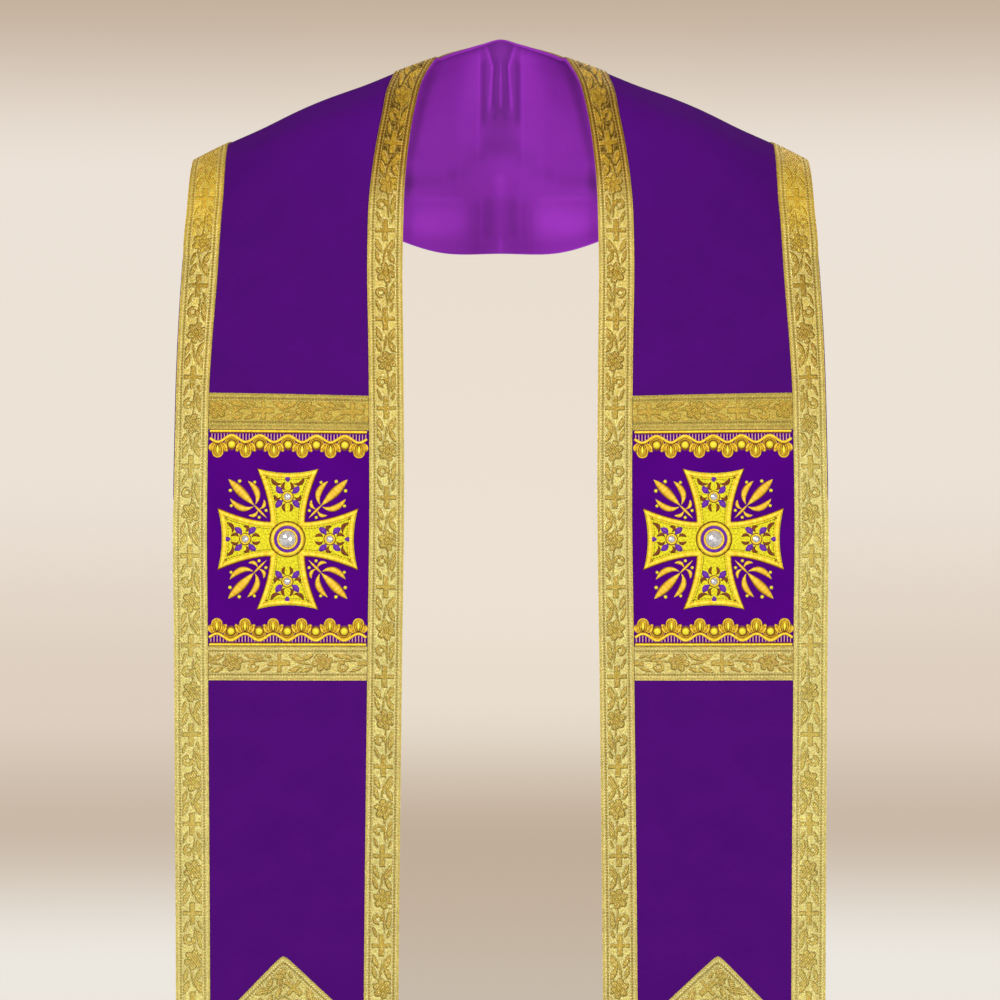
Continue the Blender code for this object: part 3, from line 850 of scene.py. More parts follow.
# Tucks and soft bands of the lining behind the neck, in mm on the back: x and z of each end of a
# fold, its half width, and its height towards the front. Each has a mirror image across the seam.
liningFolds = dict(
    bias=1.3,
    rows=(
        (11.8, 14.0, 6.4, -3.4, 1.2, 0.42), (6.4, -1.0, 8.8, -32.0, 1.2, 0.4),
        (9.0, 14.0, 2.0, -6.0, 2.6, -0.25), (4.0, 0.0, 4.2, -31.0, 1.8, -0.5),
        (0.0, 0.0, 0.0, -30.0, 0.8, 0.45), (13.2, 4.0, 12.8, -42.0, 2.2, -0.36),
        (16.8, 10.0, 16.8, -70.0, 1.1, 0.2), (0.4, -31.0, 5.4, -39.0, 1.3, -0.25),
        (31.0, -20.0, 31.5, -88.0, 2.0, 0.14), (40.0, -84.0, 98.0, -86.0, 6.0, -0.34),
        (20.0, -71.0, 90.0, -72.0, 4.0, 0.14), (28.0, -97.0, 68.0, -96.0, 1.6, 0.2),
        (7.2, -91.0, 8.8, -130.0, 5.2, -0.22), (14.6, -90.0, 14.8, -142.0, 1.1, 0.18),
        (18.6, -99.0, 20.0, -132.0, 3.8, -0.22), (0.0, -106.0, 0.0, -146.0, 1.6, 0.3),
    ),
    # Painted light and shade on the satin, where it is painted lighter or darker: x and z of each
    # end, half width and share
    tones=(
        (0.0, 60.0, 0.0, -52.0, 20.0, -0.74), (-16.0, -61.0, 16.0, -61.0, 10.0, -0.42),
        (15.0, -64.0, 38.0, -81.0, 9.0, -0.32), (0.0, -78.0, 0.0, -96.0, 7.0, 0.42),
        (12.0, -96.0, 14.0, -124.0, 9.0, -0.26), (12.0, -126.0, 26.0, -148.0, 5.0, -0.2),
        (42.0, 22.0, 57.0, -24.0, 5.0, -0.6), (57.0, -24.0, 66.0, -62.0, 4.6, -0.6),
        (66.0, -62.0, 69.2, -98.0, 4.2, -0.56), (69.2, -98.0, 70.4, -142.0, 4.0, -0.56),
        (24.0, -113.0, 90.0, -116.0, 17.0, 0.47), (14.0, -108.0, 60.0, -118.0, 16.0, 0.14),
        (0.0, -126.0, 0.0, -150.0, 12.0, 0.34), (20.0, -136.0, 60.0, -140.0, 8.0, 0.2),
    ),
    # the shadow beside the galloons: reach and share
    edge=(3.2, -0.5),
    # how far back the lining has to lie for its folds to start and to be whole
    back=(14.0, 40.0),
)


def liningFold(points):
    # Height of the folds towards the front; they fade out where the lining comes over the
    # shoulders to the front.
    x, y, z = points[..., 0], points[..., 1], points[..., 2]
    total = sum(fold(x, z, row) for row in liningFolds["rows"])
    return total * eased(y, *liningFolds["back"])


def liningShade(points, across):
    # Painted light and shade: lighter on the folds' ridges and darker in their troughs, the broad
    # painted tones, and a painted shadow beside the galloons.
    x, y, z = points[..., 0], points[..., 1], points[..., 2]
    broad = sum(fold(x, z, row) for row in liningFolds["tones"]) * eased(y, *liningFolds["back"])
    reach, deep = liningFolds["edge"]
    return liningFold(points) + broad + deep * np.exp(-np.abs(across) / reach)


def liningRelief(across, width):
    # The lining hangs a little free of the cloth between its two edges, so the folds have room.
    free = eased(across, 1.5, 14.0) * (1 - eased(across, width - 12.0, width - 2.0))

    def relief(points):
        bias = liningFolds["bias"] * eased(points[..., 1], *liningFolds["back"])
        return -(bias + liningFold(points)) * free

    return relief


def makeRoll(name, side, rows, share, middle, half, lift, thick, ends, glow):
    # A rolled edge: an oval round a line at this share of the width plus mm, which grows thin
    # between the two ends.
    angle = np.linspace(0, 2 * math.pi, 13)[None, :]
    thin = 1 - 0.9 * eased(rows, *ends)[:, None]
    across = share * widthAt(rows)[:, None] + middle + half * thin * np.cos(angle)
    along = np.broadcast_to(rows[:, None], across.shape)
    points = surface(along, across, lift - thick * thin * np.sin(angle)) * (side, 1, 1)
    faces = gridFaces(*across.shape)[:, :: int(side)]
    size = np.stack([4 * angle + 0 * across, along], axis=-1).reshape(-1, 2)
    # The shade paints light on the roll where glow is above 0 and shade where it is below.
    shade = np.full(across.shape, glow)
    return makePiece(name, points.reshape(-1, 3), faces, size, [liningMaterial], shade=shade)


# The cloth and the lining: how far out each starts, its thickness, and its columns across; how
# much lighter the cloth is painted on the shoulders as painted light, and between which heights
# that grows. The rolls: rows, share of the width, mm beyond it, half width, lift, half thickness,
# ends and shade, which is painted shade on the neck roll and a painted highlight on the back roll.
layerLook = dict(cloth=(0.0, 1.2, 43), lining=(-1.25, 1.1, 67), lighter=(0.5, -150.0, -40.0))
rollEnds = alongAt(edgeLook["neckEnd"])
rolls = dict(
    neck=(np.arange(0.0, rollEnds[1], 2.5), 0.0, 0.42, 0.38, -0.05, 1.25, rollEnds, -0.25),
    back=(np.arange(0.0, 215.0, 2.5), 1.0, -0.75, 0.5, -1.3, 0.6, (165.0, 210.0), 0.6),
)
# Rows along the strip: close where it is bent, and closest where the lining has its tucks
bentEnd = 460.0
longRows = np.linspace(bentEnd, stripEnd, 110)
clothRows = np.concatenate([np.arange(0.0, bentEnd, 3.0), longRows])
liningRows = np.concatenate([
    spread(0, 36, 0.7)[:-1], spread(36, 96, 1.6)[:-1], spread(96, 456, 3.0), longRows[:-1]
])
cloths, linings = {}, {}
trims, liningTrims = {"Left": [], "Right": []}, {"Left": [], "Right": []}
for title, word, side in sides:
    rows = clothRows
    lift, thick, columns = layerLook["cloth"]
    along, across = stripGrid(rows, (0.0, neckLip(rows)), (1.0, outerLip(rows) - edgeLip), columns)
    size = np.stack([across, along], axis=-1)
    # Painted light: the cloth's shade paints it lighter towards the shoulders.
    share, low, high = layerLook["lighter"]
    shade = share * eased(surface(along, across, 0.0)[..., 2], low, high)
    cloth = makeSheet(
        f"cloth{title}", side, along, across, lift, thick, size, clothMaterial, shade=shade
    )
    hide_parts(f"cloth_{word}")
    cloths[title] = cloth

    rows = liningRows
    lift, thick, columns = layerLook["lining"]
    along, across = stripGrid(rows, (0.0, edgeLip - neckLip(rows)), (1.0, -edgeLip), columns)
    size = np.stack([across, along], axis=-1)
    relief = liningRelief(across, widthAt(along))
    shade = liningShade(surface(along, across, 0.0), across)
    lining = makeSheet(
        f"lining{title}", side, along, across, lift, thick, size, liningMaterial, relief, shade
    )
    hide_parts(f"lining_{word}")
    linings[title] = lining
    for edge, values in rolls.items():
        roll = makeRoll(f"{edge}Roll{title}", side, *values)
        sewOn(roll, liningTrims[title])
print("cloth and lining are made")

# Each long galloon: its edge as a share of the width, the height of one cross, which way the
# figures run, and the heights between which the repeat is drawn out, with its share there. Below
# the chest it covers the edges of the layers under it.
galloonPlaces = dict(
    neck=dict(
        share=0.0, cross=-253.6, way=-1.0, drawn=(-66.0, 60.0, 0.9),
        material=neckGalloonMaterial,
    ),
    outer=dict(
        share=1.0, cross=-231.9, way=1.0, drawn=(-232.0, -170.0, 0.955),
        material=outerGalloonMaterial,
    ),
)
# Where the drawing out counts: heights at the chest, distances along at the shoulder's ridge, how
# softly it starts, and the number of the first row that surely lies in front
drawnLook = dict(chest=(-200.0, -130.0), ridge=(150.0, 170.0), soft=8.0, front=60)
# Cross bands: heights, how far the one cross lies from the middle, and material
bandPlaces = dict(
    upper=(upperBand, 17.6, upperGalloonMaterial), lower=(lowerBand, 5.6, lowerGalloonMaterial)
)
# Tip of the gable: out from the front's middle line, slopes, bluntness, and where its figures start
gableLook = dict(tip=2.2, slope=0.98, lean=0.05, blunt=1.7, shift=22.0)
trimLift, trimThick, panelThick = 1.25, 0.95, 0.85


def patternRun(rows, places, values):
    # The pattern runs square to the trim's middle line: each point's run is that of its row plus
    # how far the point lies ahead of the row's middle. Towards the shoulder the trim was drawn
    # out, so that only the run as seen from the front counts there.
    middle = places[:, places.shape[1] // 2]
    ridge = eased(rows, *drawnLook["ridge"])
    shoulder = eased(middle[:, 2], *drawnLook["chest"]) * ridge
    counts = np.stack([np.ones(len(rows)), 1 - shoulder, np.ones(len(rows))], axis=1)
    low, high, ease = values["drawn"]
    soft = drawnLook["soft"]
    there = eased(middle[:, 2], low - soft, low + soft)
    there *= (1 - eased(middle[:, 2], high - soft, high + soft)) * ridge
    step = np.linalg.norm(np.diff(middle, axis=0) * counts[1:], axis=1)
    run = np.concatenate([[0.0], np.cumsum(step * (1 - (1 - ease) * there[1:]))])
    lower = slice(drawnLook["front"], None)
    zero = np.interp(-values["cross"], -middle[lower, 2], run[lower])
    onward = np.gradient(middle, axis=0) * counts
    onward /= np.linalg.norm(onward, axis=1, keepdims=True)
    ahead = np.sum((places - middle[:, None]) * counts[:, None] * onward[:, None], axis=-1)
    return values["way"] * (run[:, None] - zero + ahead)


def makeTrim(name, side, along, across, size, material, thickness=trimThick):
    # A sheet sewn on the cloth; size is the pair of its flat coordinates.
    size = np.stack(np.broadcast_arrays(*size), axis=-1)
    return makeSheet(name, side, along, across, trimLift, thickness, size, material)


for title, word, side in sides:
    rows = clothRows
    neckExtra, outerExtra = extraWidths(rows)
    for edge, values in galloonPlaces.items():
        if edge == "neck":
            start = neckLip(rows) + 1 - eased(rows, 150.0, 161.0)  # 1 mm further in on the back
            end = galloonEnd + neckExtra
        else:
            start, end = -galloonEnd - outerExtra, -outerLip(rows)
        along, across = stripGrid(rows, (values["share"], start), (values["share"], end), 9)
        run = patternRun(rows, surface(along, across, trimLift), values)
        size = np.linspace(0, galloonWidth, 9), run
        name = f"galloon{edge.title()}{title}"
        piece = makeTrim(name, side, along, across, size, values["material"])
        sewOn(piece, trims[title], f"galloon_{edge}_{word}")
    # A cross band is the galloon turned on its side.
    for place, (levels, cross, material) in bandPlaces.items():
        along, across, right, height = frontGrid(levels, galloonEnd + gap, 29, 9)
        size = levels[0] - height, right - cross
        piece = makeTrim(f"band{place.title()}{title}", side, along, across, size, material)
        sewOn(piece, trims[title], f"band_{place}_{word}")
    # Gable: the galloon folded to a mitre. From its blunt tip the upper edge falls by
    # slope * sqrt(away^2 + blunt^2) + lean * away.
    half = float(widthAt(alongAt(gableTop - 4 * galloonWidth))) / 2 - galloonEnd - gap
    tip = gableLook["tip"]
    right = np.concatenate([np.linspace(-half, tip - 0.01, 24), np.linspace(tip + 0.01, half, 24)])
    right, drop = np.meshgrid(right, np.linspace(0, galloonWidth * math.sqrt(2), 9))
    away = right - tip
    fall = gableLook["slope"] * np.hypot(away, gableLook["blunt"]) + gableLook["lean"] * away
    along, across = front(right, gableTop - fall - drop)
    run = np.sign(away) * (2 * np.abs(away) + drop) / math.sqrt(2) + gableLook["shift"]
    size = drop / math.sqrt(2), run
    piece = makeTrim(f"gable{title}", side, along, across, size, gableGalloonMaterial)
    sewOn(piece, trims[title], f"gable_{word}")
    # Ground of the embroidered panel
    along, across, right, height = frontGrid(panelSpan, galloonEnd + gap, 33, 41)
    size = across, height
    piece = makeTrim(f"panel{title}", side, along, across, size, panelMaterial, panelThick)
    sewOn(piece, trims[title], f"panel_{word}")
print("galloons and panels are made")

stitchLift = trimLift + panelThick
threadNames = ("gold", "yellow", "olive", "brown", "mauve", "violet", "field", "amber")
threads = [threadMaterials[label] for label in threadNames]
gold, yellow, olive, brown, mauve, violet, field, amber = range(len(threadNames))
# Scalloped border, depths in mm from its straight edge.
borderLook = dict(
    pitch=19.8, reach=54.9, wave=6.2, swing=2.3,
    # straight lines, and lines along the wave: depth, half width, height, thread and columns
    lines=((0.95, 0.95, 1.0, gold, 7), (2.1, 0.3, 0.4, brown, 3)),
    waves=((0.0, 1.05, 1.3, gold, 7), (1.2, 0.28, 0.45, brown, 3)),
    # upright bars: first place, pitch, top, distance from the wave, half width and height
    bars=(0.8, 2.2, 2.7, 0.3, 0.42, 0.35),
    bead=10.2, beadRadius=2.85, rims=((3.9, 0.5, olive), (5.0, 0.35, amber)),
    # stems of the fan's crown on one side: right, depth of three places, half width and thread
    crown=(
        ((2.6, 8.8), (5.7, 11.2), (6.1, 14.4), 0.9, amber),
        ((1.9, 9.2), (4.3, 12.0), (4.6, 15.2), 0.9, olive),
        ((1.3, 9.0), (3.2, 12.2), (3.4, 16.2), 0.55, amber),
        ((0.7, 9.6), (1.8, 12.2), (2.0, 15.0), 0.7, olive),
    ),
    fan=(12.6, 5.0), cup=15.4, cupRadius=3.5, drop=(10.4, 13.2, 17.0), curl=(6.2, 14.2, 1.2),
)


def stitchBorder(level, sign, look):
    # Lines, upright bars, a wave, and by turns a bead under its crests and a fan under its dips.
    work = Stitching(stitchLift)
    reach, pitch = look["reach"], look["pitch"]
    turned = 0.0 if sign < 0 else 180.0

    def at(depth):
        return level + sign * depth

    def wave(right):
        return look["wave"] - look["swing"] * np.cos(2 * math.pi * right / pitch)

    line = np.linspace(-reach, reach, 121)
    coarse = line[::4]
    for depth, half, rise, kind, columns in look["lines"]:
        work.cord(coarse, at(depth + 0 * coarse), half, rise, kind, columns=columns)
    first, barPitch, top, clear, half, rise = look["bars"]
    for right in np.arange(first - reach, reach, barPitch):
        depth = np.linspace(top, wave(right) - clear, 3)
        work.cord(np.full(3, right), at(depth), half, rise, mauve, columns=5)
    for step in range(-3, 3):
        # The fan: a dark ground, a crown of bent stems, and a cup with a drop in it.
        right = (step + 0.5) * pitch
        depth, radius = look["fan"]
        work.dome(right, at(depth), radius, 0.25, brown, spokes=24)
        for way in (-1, 1):
            for *places, half, kind in look["crown"]:
                x, depth = np.array(places).T
                x = np.clip(right + way * x, -reach, reach)
                work.leaf(x, at(depth), half, 0.9, kind, point=0.55)
            away, low, radius = look["curl"]
            if abs(right + way * away) < reach:
                work.dome(right + way * away, at(low), radius, 1.0, amber, spokes=12)
        cup, radius = at(look["cup"]), look["cupRadius"]
        work.dome(right, cup, radius + 0.3, 0.5, olive)
        work.arc(right, cup, radius, turned - 190, turned + 10, 0.6, 1.1, amber)
        work.leaf(np.full(3, right), at(np.array(look["drop"])), 1.1, 1.4, yellow, point=0.8)
    for beyond, half, rise, kind, columns in look["waves"]:
        work.cord(line, at(wave(line) + beyond), half, rise, kind, columns=columns)
    for step in range(-2, 3):
        right, bead = step * pitch, at(look["bead"])
        work.dome(right, at(look["bead"] - 0.6), 4.6, 0.15, brown)
        work.dome(right, bead, look["beadRadius"], 1.7, yellow)
        for radius, half, kind in look["rims"]:
            work.arc(right, bead, radius, turned - 20, turned + 200, half, 0.7, kind)
    return work


# Cross with arms that widen outwards, in mm, as its solid has them.
crossLook = dict(
    half=49.0, root=12.0, tip=21.5, hollow=3.0, flare=1.7, flower=29.5,
    # the filling: its share of an arm's width, its height and its crown, and its height in the
    # middle square
    fill=0.97, puff=0.9, crown=0.5, square=1.4,
    # lines along the outline: how far in, half width, height, thread and columns
    frames=((2.0, 2.0, 2.1, gold, 9), (0.1, 0.35, 0.5, brown, 5)),
    # stitches inside the frame: how far in, length, space, half width and height
    stitches=(4.7, 1.5, 0.6, 0.55, 2.0),
    # Each flower: its petals' places outwards, their bend, half width, and rings round the stone
    petals=(4.0, 7.0, 11.0), bend=0.9, petal=2.2,
    flowerRings=((3.25, 0.6, 0.9, gold, 1.3, 25), (4.05, 0.3, 0.5, brown, 1.3, 25)),
    # Curls round each flower, from its middle: three places, half width and thread
    curls=(
        ((4.4, 0.2), (7.6, -1.8), (9.0, 1.6), 1.3, brown),
        ((1.0, 4.6), (3.4, 6.8), (1.6, 10.4), 1.2, brown),
        ((3.6, 9.4), (8.6, 9.2), (11.4, 13.4), 1.4, brown),
        ((0.4, 10.2), (0.4, 12.4), (0.4, 14.6), 1.3, violet),
        ((1.0, -4.6), (3.0, -7.0), (1.4, -10.6), 1.2, brown),
    ),
    # rings round the middle stone: radius, half width, height, thread, base and steps
    disc=(9.6, 0.4),
    rings=(
        (10.4, 1.3, 1.3, gold, 1.2, 49), (12.3, 0.4, 0.7, brown, 1.4, 49),
        (6.6, 0.7, 1.2, gold, 1.6, 41),
    ),
    # height of the flowers and curls over the ground
    base=1.3,
)


def crossArm(v, cut, look):
    # A place on the upper arm: v goes outwards from root to tip, cut goes across from -1 to 1.
    half = look["root"] + (look["tip"] - look["root"]) * v ** look["flare"]
    far = look["root"] + v * (look["half"] - look["root"] - look["hollow"] * (1 - cut**2))
    return cut * half, far


def turn(right, up, quarter):
    # A place turned clockwise by quarters of a circle
    angle = quarter * math.pi / 2
    ahead, aside = math.cos(angle), math.sin(angle)
    return right * ahead + up * aside, up * ahead - right * aside


def crossOutline(look):
    # The four arms' edges in one closed line, each up its left side, across its tip and down.
    v, cut = np.linspace(0, 1, 10), np.linspace(-1, 1, 12)[1:-1]
    x1, y1 = crossArm(v, np.full(10, -1.0), look)
    x2, y2 = crossArm(np.ones(10), cut, look)
    x3, y3 = crossArm(v[::-1], np.full(10, 1.0), look)
    x, y = np.concatenate([x1, x2, x3[:-1]]), np.concatenate([y1, y2, y3[:-1]])
    arms = [np.stack(turn(x, y, quarter), axis=1) for quarter in range(4)]
    return np.vstack(arms)


def inset(path, distance):
    # A closed line moved inwards by this distance, along each corner's mitre.
    before = path - np.roll(path, 1, axis=0)
    after = np.roll(path, -1, axis=0) - path
    before /= np.linalg.norm(before, axis=1, keepdims=True)
    after /= np.linalg.norm(after, axis=1, keepdims=True)
    way = before + after
    way = np.stack([way[:, 1], -way[:, 0]], axis=1) / np.linalg.norm(way, axis=1, keepdims=True)
    square = np.stack([before[:, 1], -before[:, 0]], axis=1)
    return path + way * distance / np.maximum(0.5, np.sum(way * square, axis=1))[:, None]


def dashes(work, path, length, space, half, rise, kind):
    # Stitches of even length along a closed line.
    path = np.vstack([path, path[:1]])
    run = np.concatenate([[0.0], np.cumsum(np.linalg.norm(np.diff(path, axis=0), axis=1))])
    count = int(run[-1] / (length + space))
    for start in np.arange(count) * run[-1] / count:
        at = start + np.array([0.0, 0.15, 0.5, 0.85, 1.0]) * length
        right, up = (np.interp(at, run, path[:, axis]) for axis in (0, 1))
        work.cord(right, up, half * np.array([0.3, 0.9, 1, 0.9, 0.3]), rise, kind, columns=3)


def stitchCross(look):
    work = Stitching(stitchLift)
    outline = crossOutline(look)
    base = look["base"]
    cut = np.linspace(-1, 1, 13)
    v = np.linspace(0.0, 1.0, 15)[:, None]
    # The filling, raised most along the middle of each arm: puff + crown * (1 - cut^4).
    crown = look["crown"] * (1 - cut[None, :] ** 4) * np.minimum(1, 6 * (1 - v) + 0.2)
    puff = look["puff"] + crown
    for quarter in range(4):
        right, up = turn(*crossArm(v, look["fill"] * cut[None, :], look), quarter)
        size = np.stack(np.broadcast_arrays(right, up), axis=-1)
        work.patch(right, crossMiddle + up, stitchLift + puff, size, field)
    right, up = np.meshgrid(cut * look["root"], cut * look["root"])
    size = np.stack([right, up], axis=-1)
    work.patch(right, crossMiddle + up, stitchLift + look["square"], size, field)
    for inwards, half, rise, kind, columns in look["frames"]:
        right, up = inset(outline, inwards).T
        work.cord(right, crossMiddle + up, half, rise, kind, closed=True, columns=columns)
    inwards, length, space, half, rise = look["stitches"]
    dashes(work, inset(outline, inwards) + (0, crossMiddle), length, space, half, rise, brown)

    def rings(right, up, table):
        for radius, half, rise, kind, under, steps in table:
            work.arc(right, crossMiddle + up, radius, 0, 360, half, rise, kind, under, steps)

    for quarter in range(4):
        # A small flower in each arm: four petals on the diagonals round a stone, and its curls.
        for angle in (45, 135, 225, 315):
            ahead, aside = math.cos(math.radians(angle)), math.sin(math.radians(angle))
            bend = np.array([0.0, look["bend"], 0.0]) * math.copysign(1, ahead * aside)
            out = np.array(look["petals"])
            x = out * ahead + bend * aside
            y = look["flower"] + out * aside - bend * ahead
            right, up = turn(x, y, quarter)
            work.leaf(right, crossMiddle + up, look["petal"], 0.9, violet, base=base)
        for *places, half, kind in look["curls"]:
            for way in (-1, 1):
                x, y = np.array(places).T
                right, up = turn(x * way, look["flower"] + y, quarter)
                work.leaf(right, crossMiddle + up, half, 0.8, kind, base=base)
        rings(*turn(0.0, look["flower"], quarter), look["flowerRings"])
    work.dome(0.0, crossMiddle, *look["disc"], violet, base=1.5, spokes=36)
    rings(0.0, 0.0, look["rings"])
    return work


# One sprig stands on each diagonal of the cross: its leaves from x, y to x, y by way of a middle
# point, in mm with y along the diagonal, and their half widths. The paired ones have a mirror
# image.
sprigLook = dict(
    single=(((0, 33), (0, 45), (0, 59), 3.3), ((0, 20.5), (0, 27), (0, 34), 0.95)),
    paired=(((0.8, 33), (7.6, 38), (8.8, 48.5), 2.3), ((0.6, 29), (4.6, 28.2), (7.6, 31.2), 1.35)),
    berries=((4.6, 52.4, 1.35), (11.6, 44.4, 1.2), (3.4, 24.8, 1.2)),
)


def stitchSprigs(look):
    # Plain leaves and berries in each angle of the cross.
    work = Stitching(stitchLift)

    def onDiagonal(x, y, quarter):
        return turn((x + y) / math.sqrt(2), (y - x) / math.sqrt(2), quarter)

    for quarter in range(4):
        for way in (-1, 1):
            for *places, half in look["paired"]:
                x, y = np.array(places, float).T
                right, up = onDiagonal(x * way, y, quarter)
                work.leaf(right, crossMiddle + up, half, 0.5 + 0.45 * half, amber)
            for x, y, radius in look["berries"]:
                right, up = onDiagonal(x * way, y, quarter)
                work.dome(right, crossMiddle + up, radius, 1.1, yellow, spokes=14)
        for *places, half in look["single"]:
            x, y = np.array(places, float).T
            right, up = onDiagonal(x, y, quarter)
            work.leaf(right, crossMiddle + up, half, 0.5 + 0.45 * half, amber)
    return work


# Clear stones in gold rings: right and up from the middle of the cross, radius and height in mm.
stoneLook = dict(middle=(0.0, 0.0, 5.9, 2.9), small=(2.5, 1.3), base=1.7)


def stoneMesh(radius, height, ways):
    # Rings of points, each turned half a step on from the last, joined by triangles.
    shares = np.array([(1.0, 0.0), (1.0, 0.2), (0.84, 0.52), (0.55, 0.82), (0.24, 1.0), (0.0, 1.0)])
    step = np.arange(len(shares))[:, None]
    angle = 2 * math.pi * (np.arange(ways)[None, :] + 0.5 * np.maximum(step - 1, 0)) / ways
    x = radius * shares[:, :1] * np.cos(angle)
    y = radius * shares[:, :1] * np.sin(angle)
    lift = np.broadcast_to(height * shares[:, 1:], x.shape)
    index = np.arange(x.size).reshape(x.shape)
    ahead = np.roll(index, -1, axis=1)
    near = np.stack([index[:-1], ahead[:-1], index[1:]], axis=-1)
    far = np.stack([ahead[:-1], ahead[1:], index[1:]], axis=-1)
    triangles = np.concatenate([near.reshape(-1, 3), far.reshape(-1, 3)])
    return x.ravel(), y.ravel(), lift.ravel(), triangles


def makeStones(name, side, look):
    places = [(*look["middle"], 12)]
    for quarter in range(4):
        places.append((*turn(0.0, crossLook["flower"], quarter), *look["small"], 8))
    points, faces, size, start = [], [], [], 0
    for right, up, radius, height, ways in places:
        x, y, lift, triangles = stoneMesh(radius, height, ways)
        along, across = front(right + x, crossMiddle + up + y)
        points.append(surface(along, across, stitchLift + look["base"] + lift) * (side, 1, 1))
        size.append(np.stack([x, y], axis=1))
        faces.append(triangles + start)
        start += len(x)
    points, faces, size = (np.vstack(rows) for rows in (points, faces, size))
    piece = makePiece(name, points, faces, size, [stoneMaterial], smooth=False)
    shape = bmesh.new()
    shape.from_mesh(piece.data)
    bmesh.ops.remove_doubles(shape, verts=shape.verts, dist=0.00001)
    bmesh.ops.recalc_face_normals(shape, faces=shape.faces)
    shape.to_mesh(piece.data)
    shape.free()
    return piece


for title, word, side in sides:
    for place, level, sign in (("upper", panelSpan[0], -1), ("lower", panelSpan[1], 1)):
        work = stitchBorder(level, sign, borderLook)
        piece = work.piece(f"border{place.title()}{title}", side, threads)
        sewOn(piece, trims[title], f"border_{place}_{word}")
    piece = stitchCross(crossLook).piece(f"cross{title}", side, threads)
    sewOn(piece, trims[title], f"cross_{word}")
    piece = stitchSprigs(sprigLook).piece(f"sprigs{title}", side, threads)
    sewOn(piece, trims[title])
    piece = makeStones(f"stones{title}", side, stoneLook)
    sewOn(piece, trims[title], f"stone_{word}")
print("embroidery and stones are made")

for title, word, side in sides:
    rows = np.linspace(0.0, stripEnd, 600)
    wide = widthAt(rows)

# The room: a floor that curves up into a round wall. It is no lamp but glows, its painted light
# a soft gradient by height, which differs between its middle and its sides.
roomLook = dict(
    radius=7.9, floor=-1.4, fillet=1.5, top=5.0, glow=0.4, between=(0.25, 0.62),
    # height of the wall in m, and the colour there
    middle=(
        (-1.40, (201, 189, 173)), (-1.02, (193, 174, 154)), (-0.72, (233, 222, 206)),
        (-0.50, (236, 225, 211)), (0.40, (233, 222, 208)), (0.80, (195, 175, 155)),
    ),
    sides=(
        (-1.24, (236, 231, 223)), (-0.98, (202, 185, 167)), (-0.74, (222, 207, 192)),
        (-0.22, (236, 226, 214)), (0.36, (236, 226, 215)), (0.80, (195, 175, 155)),
    ),
)


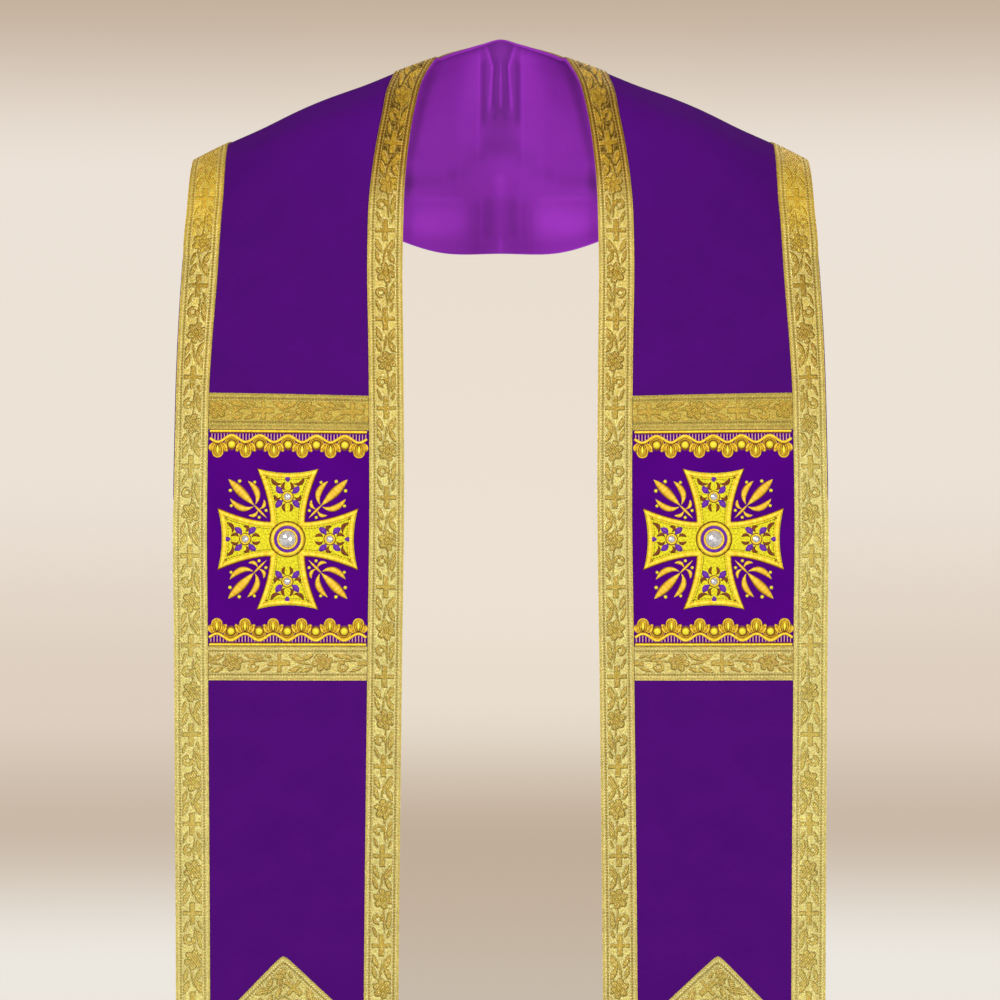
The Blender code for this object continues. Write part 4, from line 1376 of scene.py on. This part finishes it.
def makeRoom(look):
    # A profile of radius and height, turned about the upright axis.
    bend = np.radians(np.linspace(-90, 0, 17))
    wall, floor, fillet = look["radius"], look["floor"], look["fillet"]
    radius = np.concatenate([[0.001, 2.0, 4.0], wall + fillet * (np.cos(bend) - 1), [wall]])
    height = np.concatenate([[floor] * 3, floor + fillet * (1 + np.sin(bend)), [look["top"]]])
    angle = np.linspace(0, 2 * math.pi, 97)[:, None]
    points = radius * np.cos(angle), radius * np.sin(angle), height + 0 * angle
    points = np.stack(points, axis=-1)
    faces = gridFaces(*points.shape[:2])[:, ::-1]
    mesh = bpy.data.meshes.new("room")
    mesh.from_pydata(points.reshape(-1, 3).tolist(), [], faces.tolist())
    mesh.polygons.foreach_set("use_smooth", np.full(len(mesh.polygons), True))
    made = bpy.data.materials.new("roomPaint")
    made.use_nodes = True
    shader = made.node_tree.nodes["Principled BSDF"]
    shader.inputs["Base Color"].default_value = (0, 0, 0, 1)
    shader.inputs["Roughness"].default_value = 1.0
    shader.inputs["Specular IOR Level"].default_value = 0.0
    n = Nodes(made.node_tree)
    parts = n.parts(n.add("TexCoord")["Object"])
    painted = []
    for tones in (look["middle"], look["sides"]):
        low, high = tones[0][0], tones[-1][0]
        share = n.add("MapRange", {"Value": parts["Z"], "From Min": low, "From Max": high})[0]
        ramp = made.node_tree.nodes.new("ShaderNodeValToRGB")
        ramp.color_ramp.interpolation = "EASE"
        while len(ramp.color_ramp.elements) < len(tones):
            ramp.color_ramp.elements.new(0.5)
        for element, (level, tone) in zip(ramp.color_ramp.elements, tones):
            element.position = (level - low) / (high - low)
            element.color = color(*tone)
        made.node_tree.links.new(share, ramp.inputs[0])
        painted.append(ramp.outputs[0])
    aside = n.soft(n.away(parts["X"]), *look["between"])
    made.node_tree.links.new(n.mix(aside, *painted), shader.inputs["Emission Color"])
    # The wall glows at full strength for the camera and at the weaker glow for the light it gives
    # the stole.
    seen = n.add("LightPath")["Is Camera Ray"]
    strength = n.add("MapRange", {"Value": seen, "To Min": look["glow"], "To Max": 1.0})[0]
    made.node_tree.links.new(strength, shader.inputs["Emission Strength"])
    mesh.materials.append(made)
    room = bpy.data.objects.new("room", mesh)
    bpy.context.scene.collection.objects.link(room)


makeRoom(roomLook)

# Soft lamps: place and aim in m, size in m, power in W, and colour.
lampLook = dict(
    key=((-1.5, -3.3, 0.9), (0.0, 0.0, -0.45), 1.5, 90.0, (1.0, 0.98, 0.95)),
    fill=((1.5, -3.3, -0.1), (0.0, 0.0, -0.45), 1.6, 66.0, (1.0, 0.98, 0.96)),
    back=((0.3, 2.6, 1.6), (0.0, 0.0, -0.3), 1.5, 14.0, (1.0, 0.98, 0.95)),
)
for label, (place, aim, wide, power, tint) in lampLook.items():
    lamp = bpy.data.lights.new(label, "AREA")
    lamp.shape = "DISK"
    lamp.size = wide
    lamp.energy = power
    lamp.color = tint
    holder = bpy.data.objects.new(label, lamp)
    holder.location = place
    holder.rotation_euler = (Vector(aim) - Vector(place)).to_track_quat("-Z", "Y").to_euler()
    bpy.context.scene.collection.objects.link(holder)

# Level camera 4 m in front, so far off that the stole shows almost as drawn flat.
cameraLook = dict(place=(-0.0005, -4.0, -0.3179), lens=200.57, sensor=36.0, far=60.0)
view = bpy.data.cameras.new("camera")
view.lens = cameraLook["lens"]
view.sensor_width = cameraLook["sensor"]
view.clip_end = cameraLook["far"]
holder = bpy.data.objects.new("camera", view)
holder.location = cameraLook["place"]
holder.rotation_euler = (math.pi / 2, 0, 0)
bpy.context.scene.collection.objects.link(holder)
bpy.context.scene.camera = holder

# Dim light from all around
worldLook = dict(tint=(190, 170, 150), strength=0.5)
world = bpy.data.worlds.new("dim")
world.use_nodes = True
background = world.node_tree.nodes["Background"]
background.inputs["Color"].default_value = color(*worldLook["tint"])
background.inputs["Strength"].default_value = worldLook["strength"]
bpy.context.scene.world = world
bpy.context.scene.view_settings.view_transform = "Standard"
print("room, lamps and camera are set")
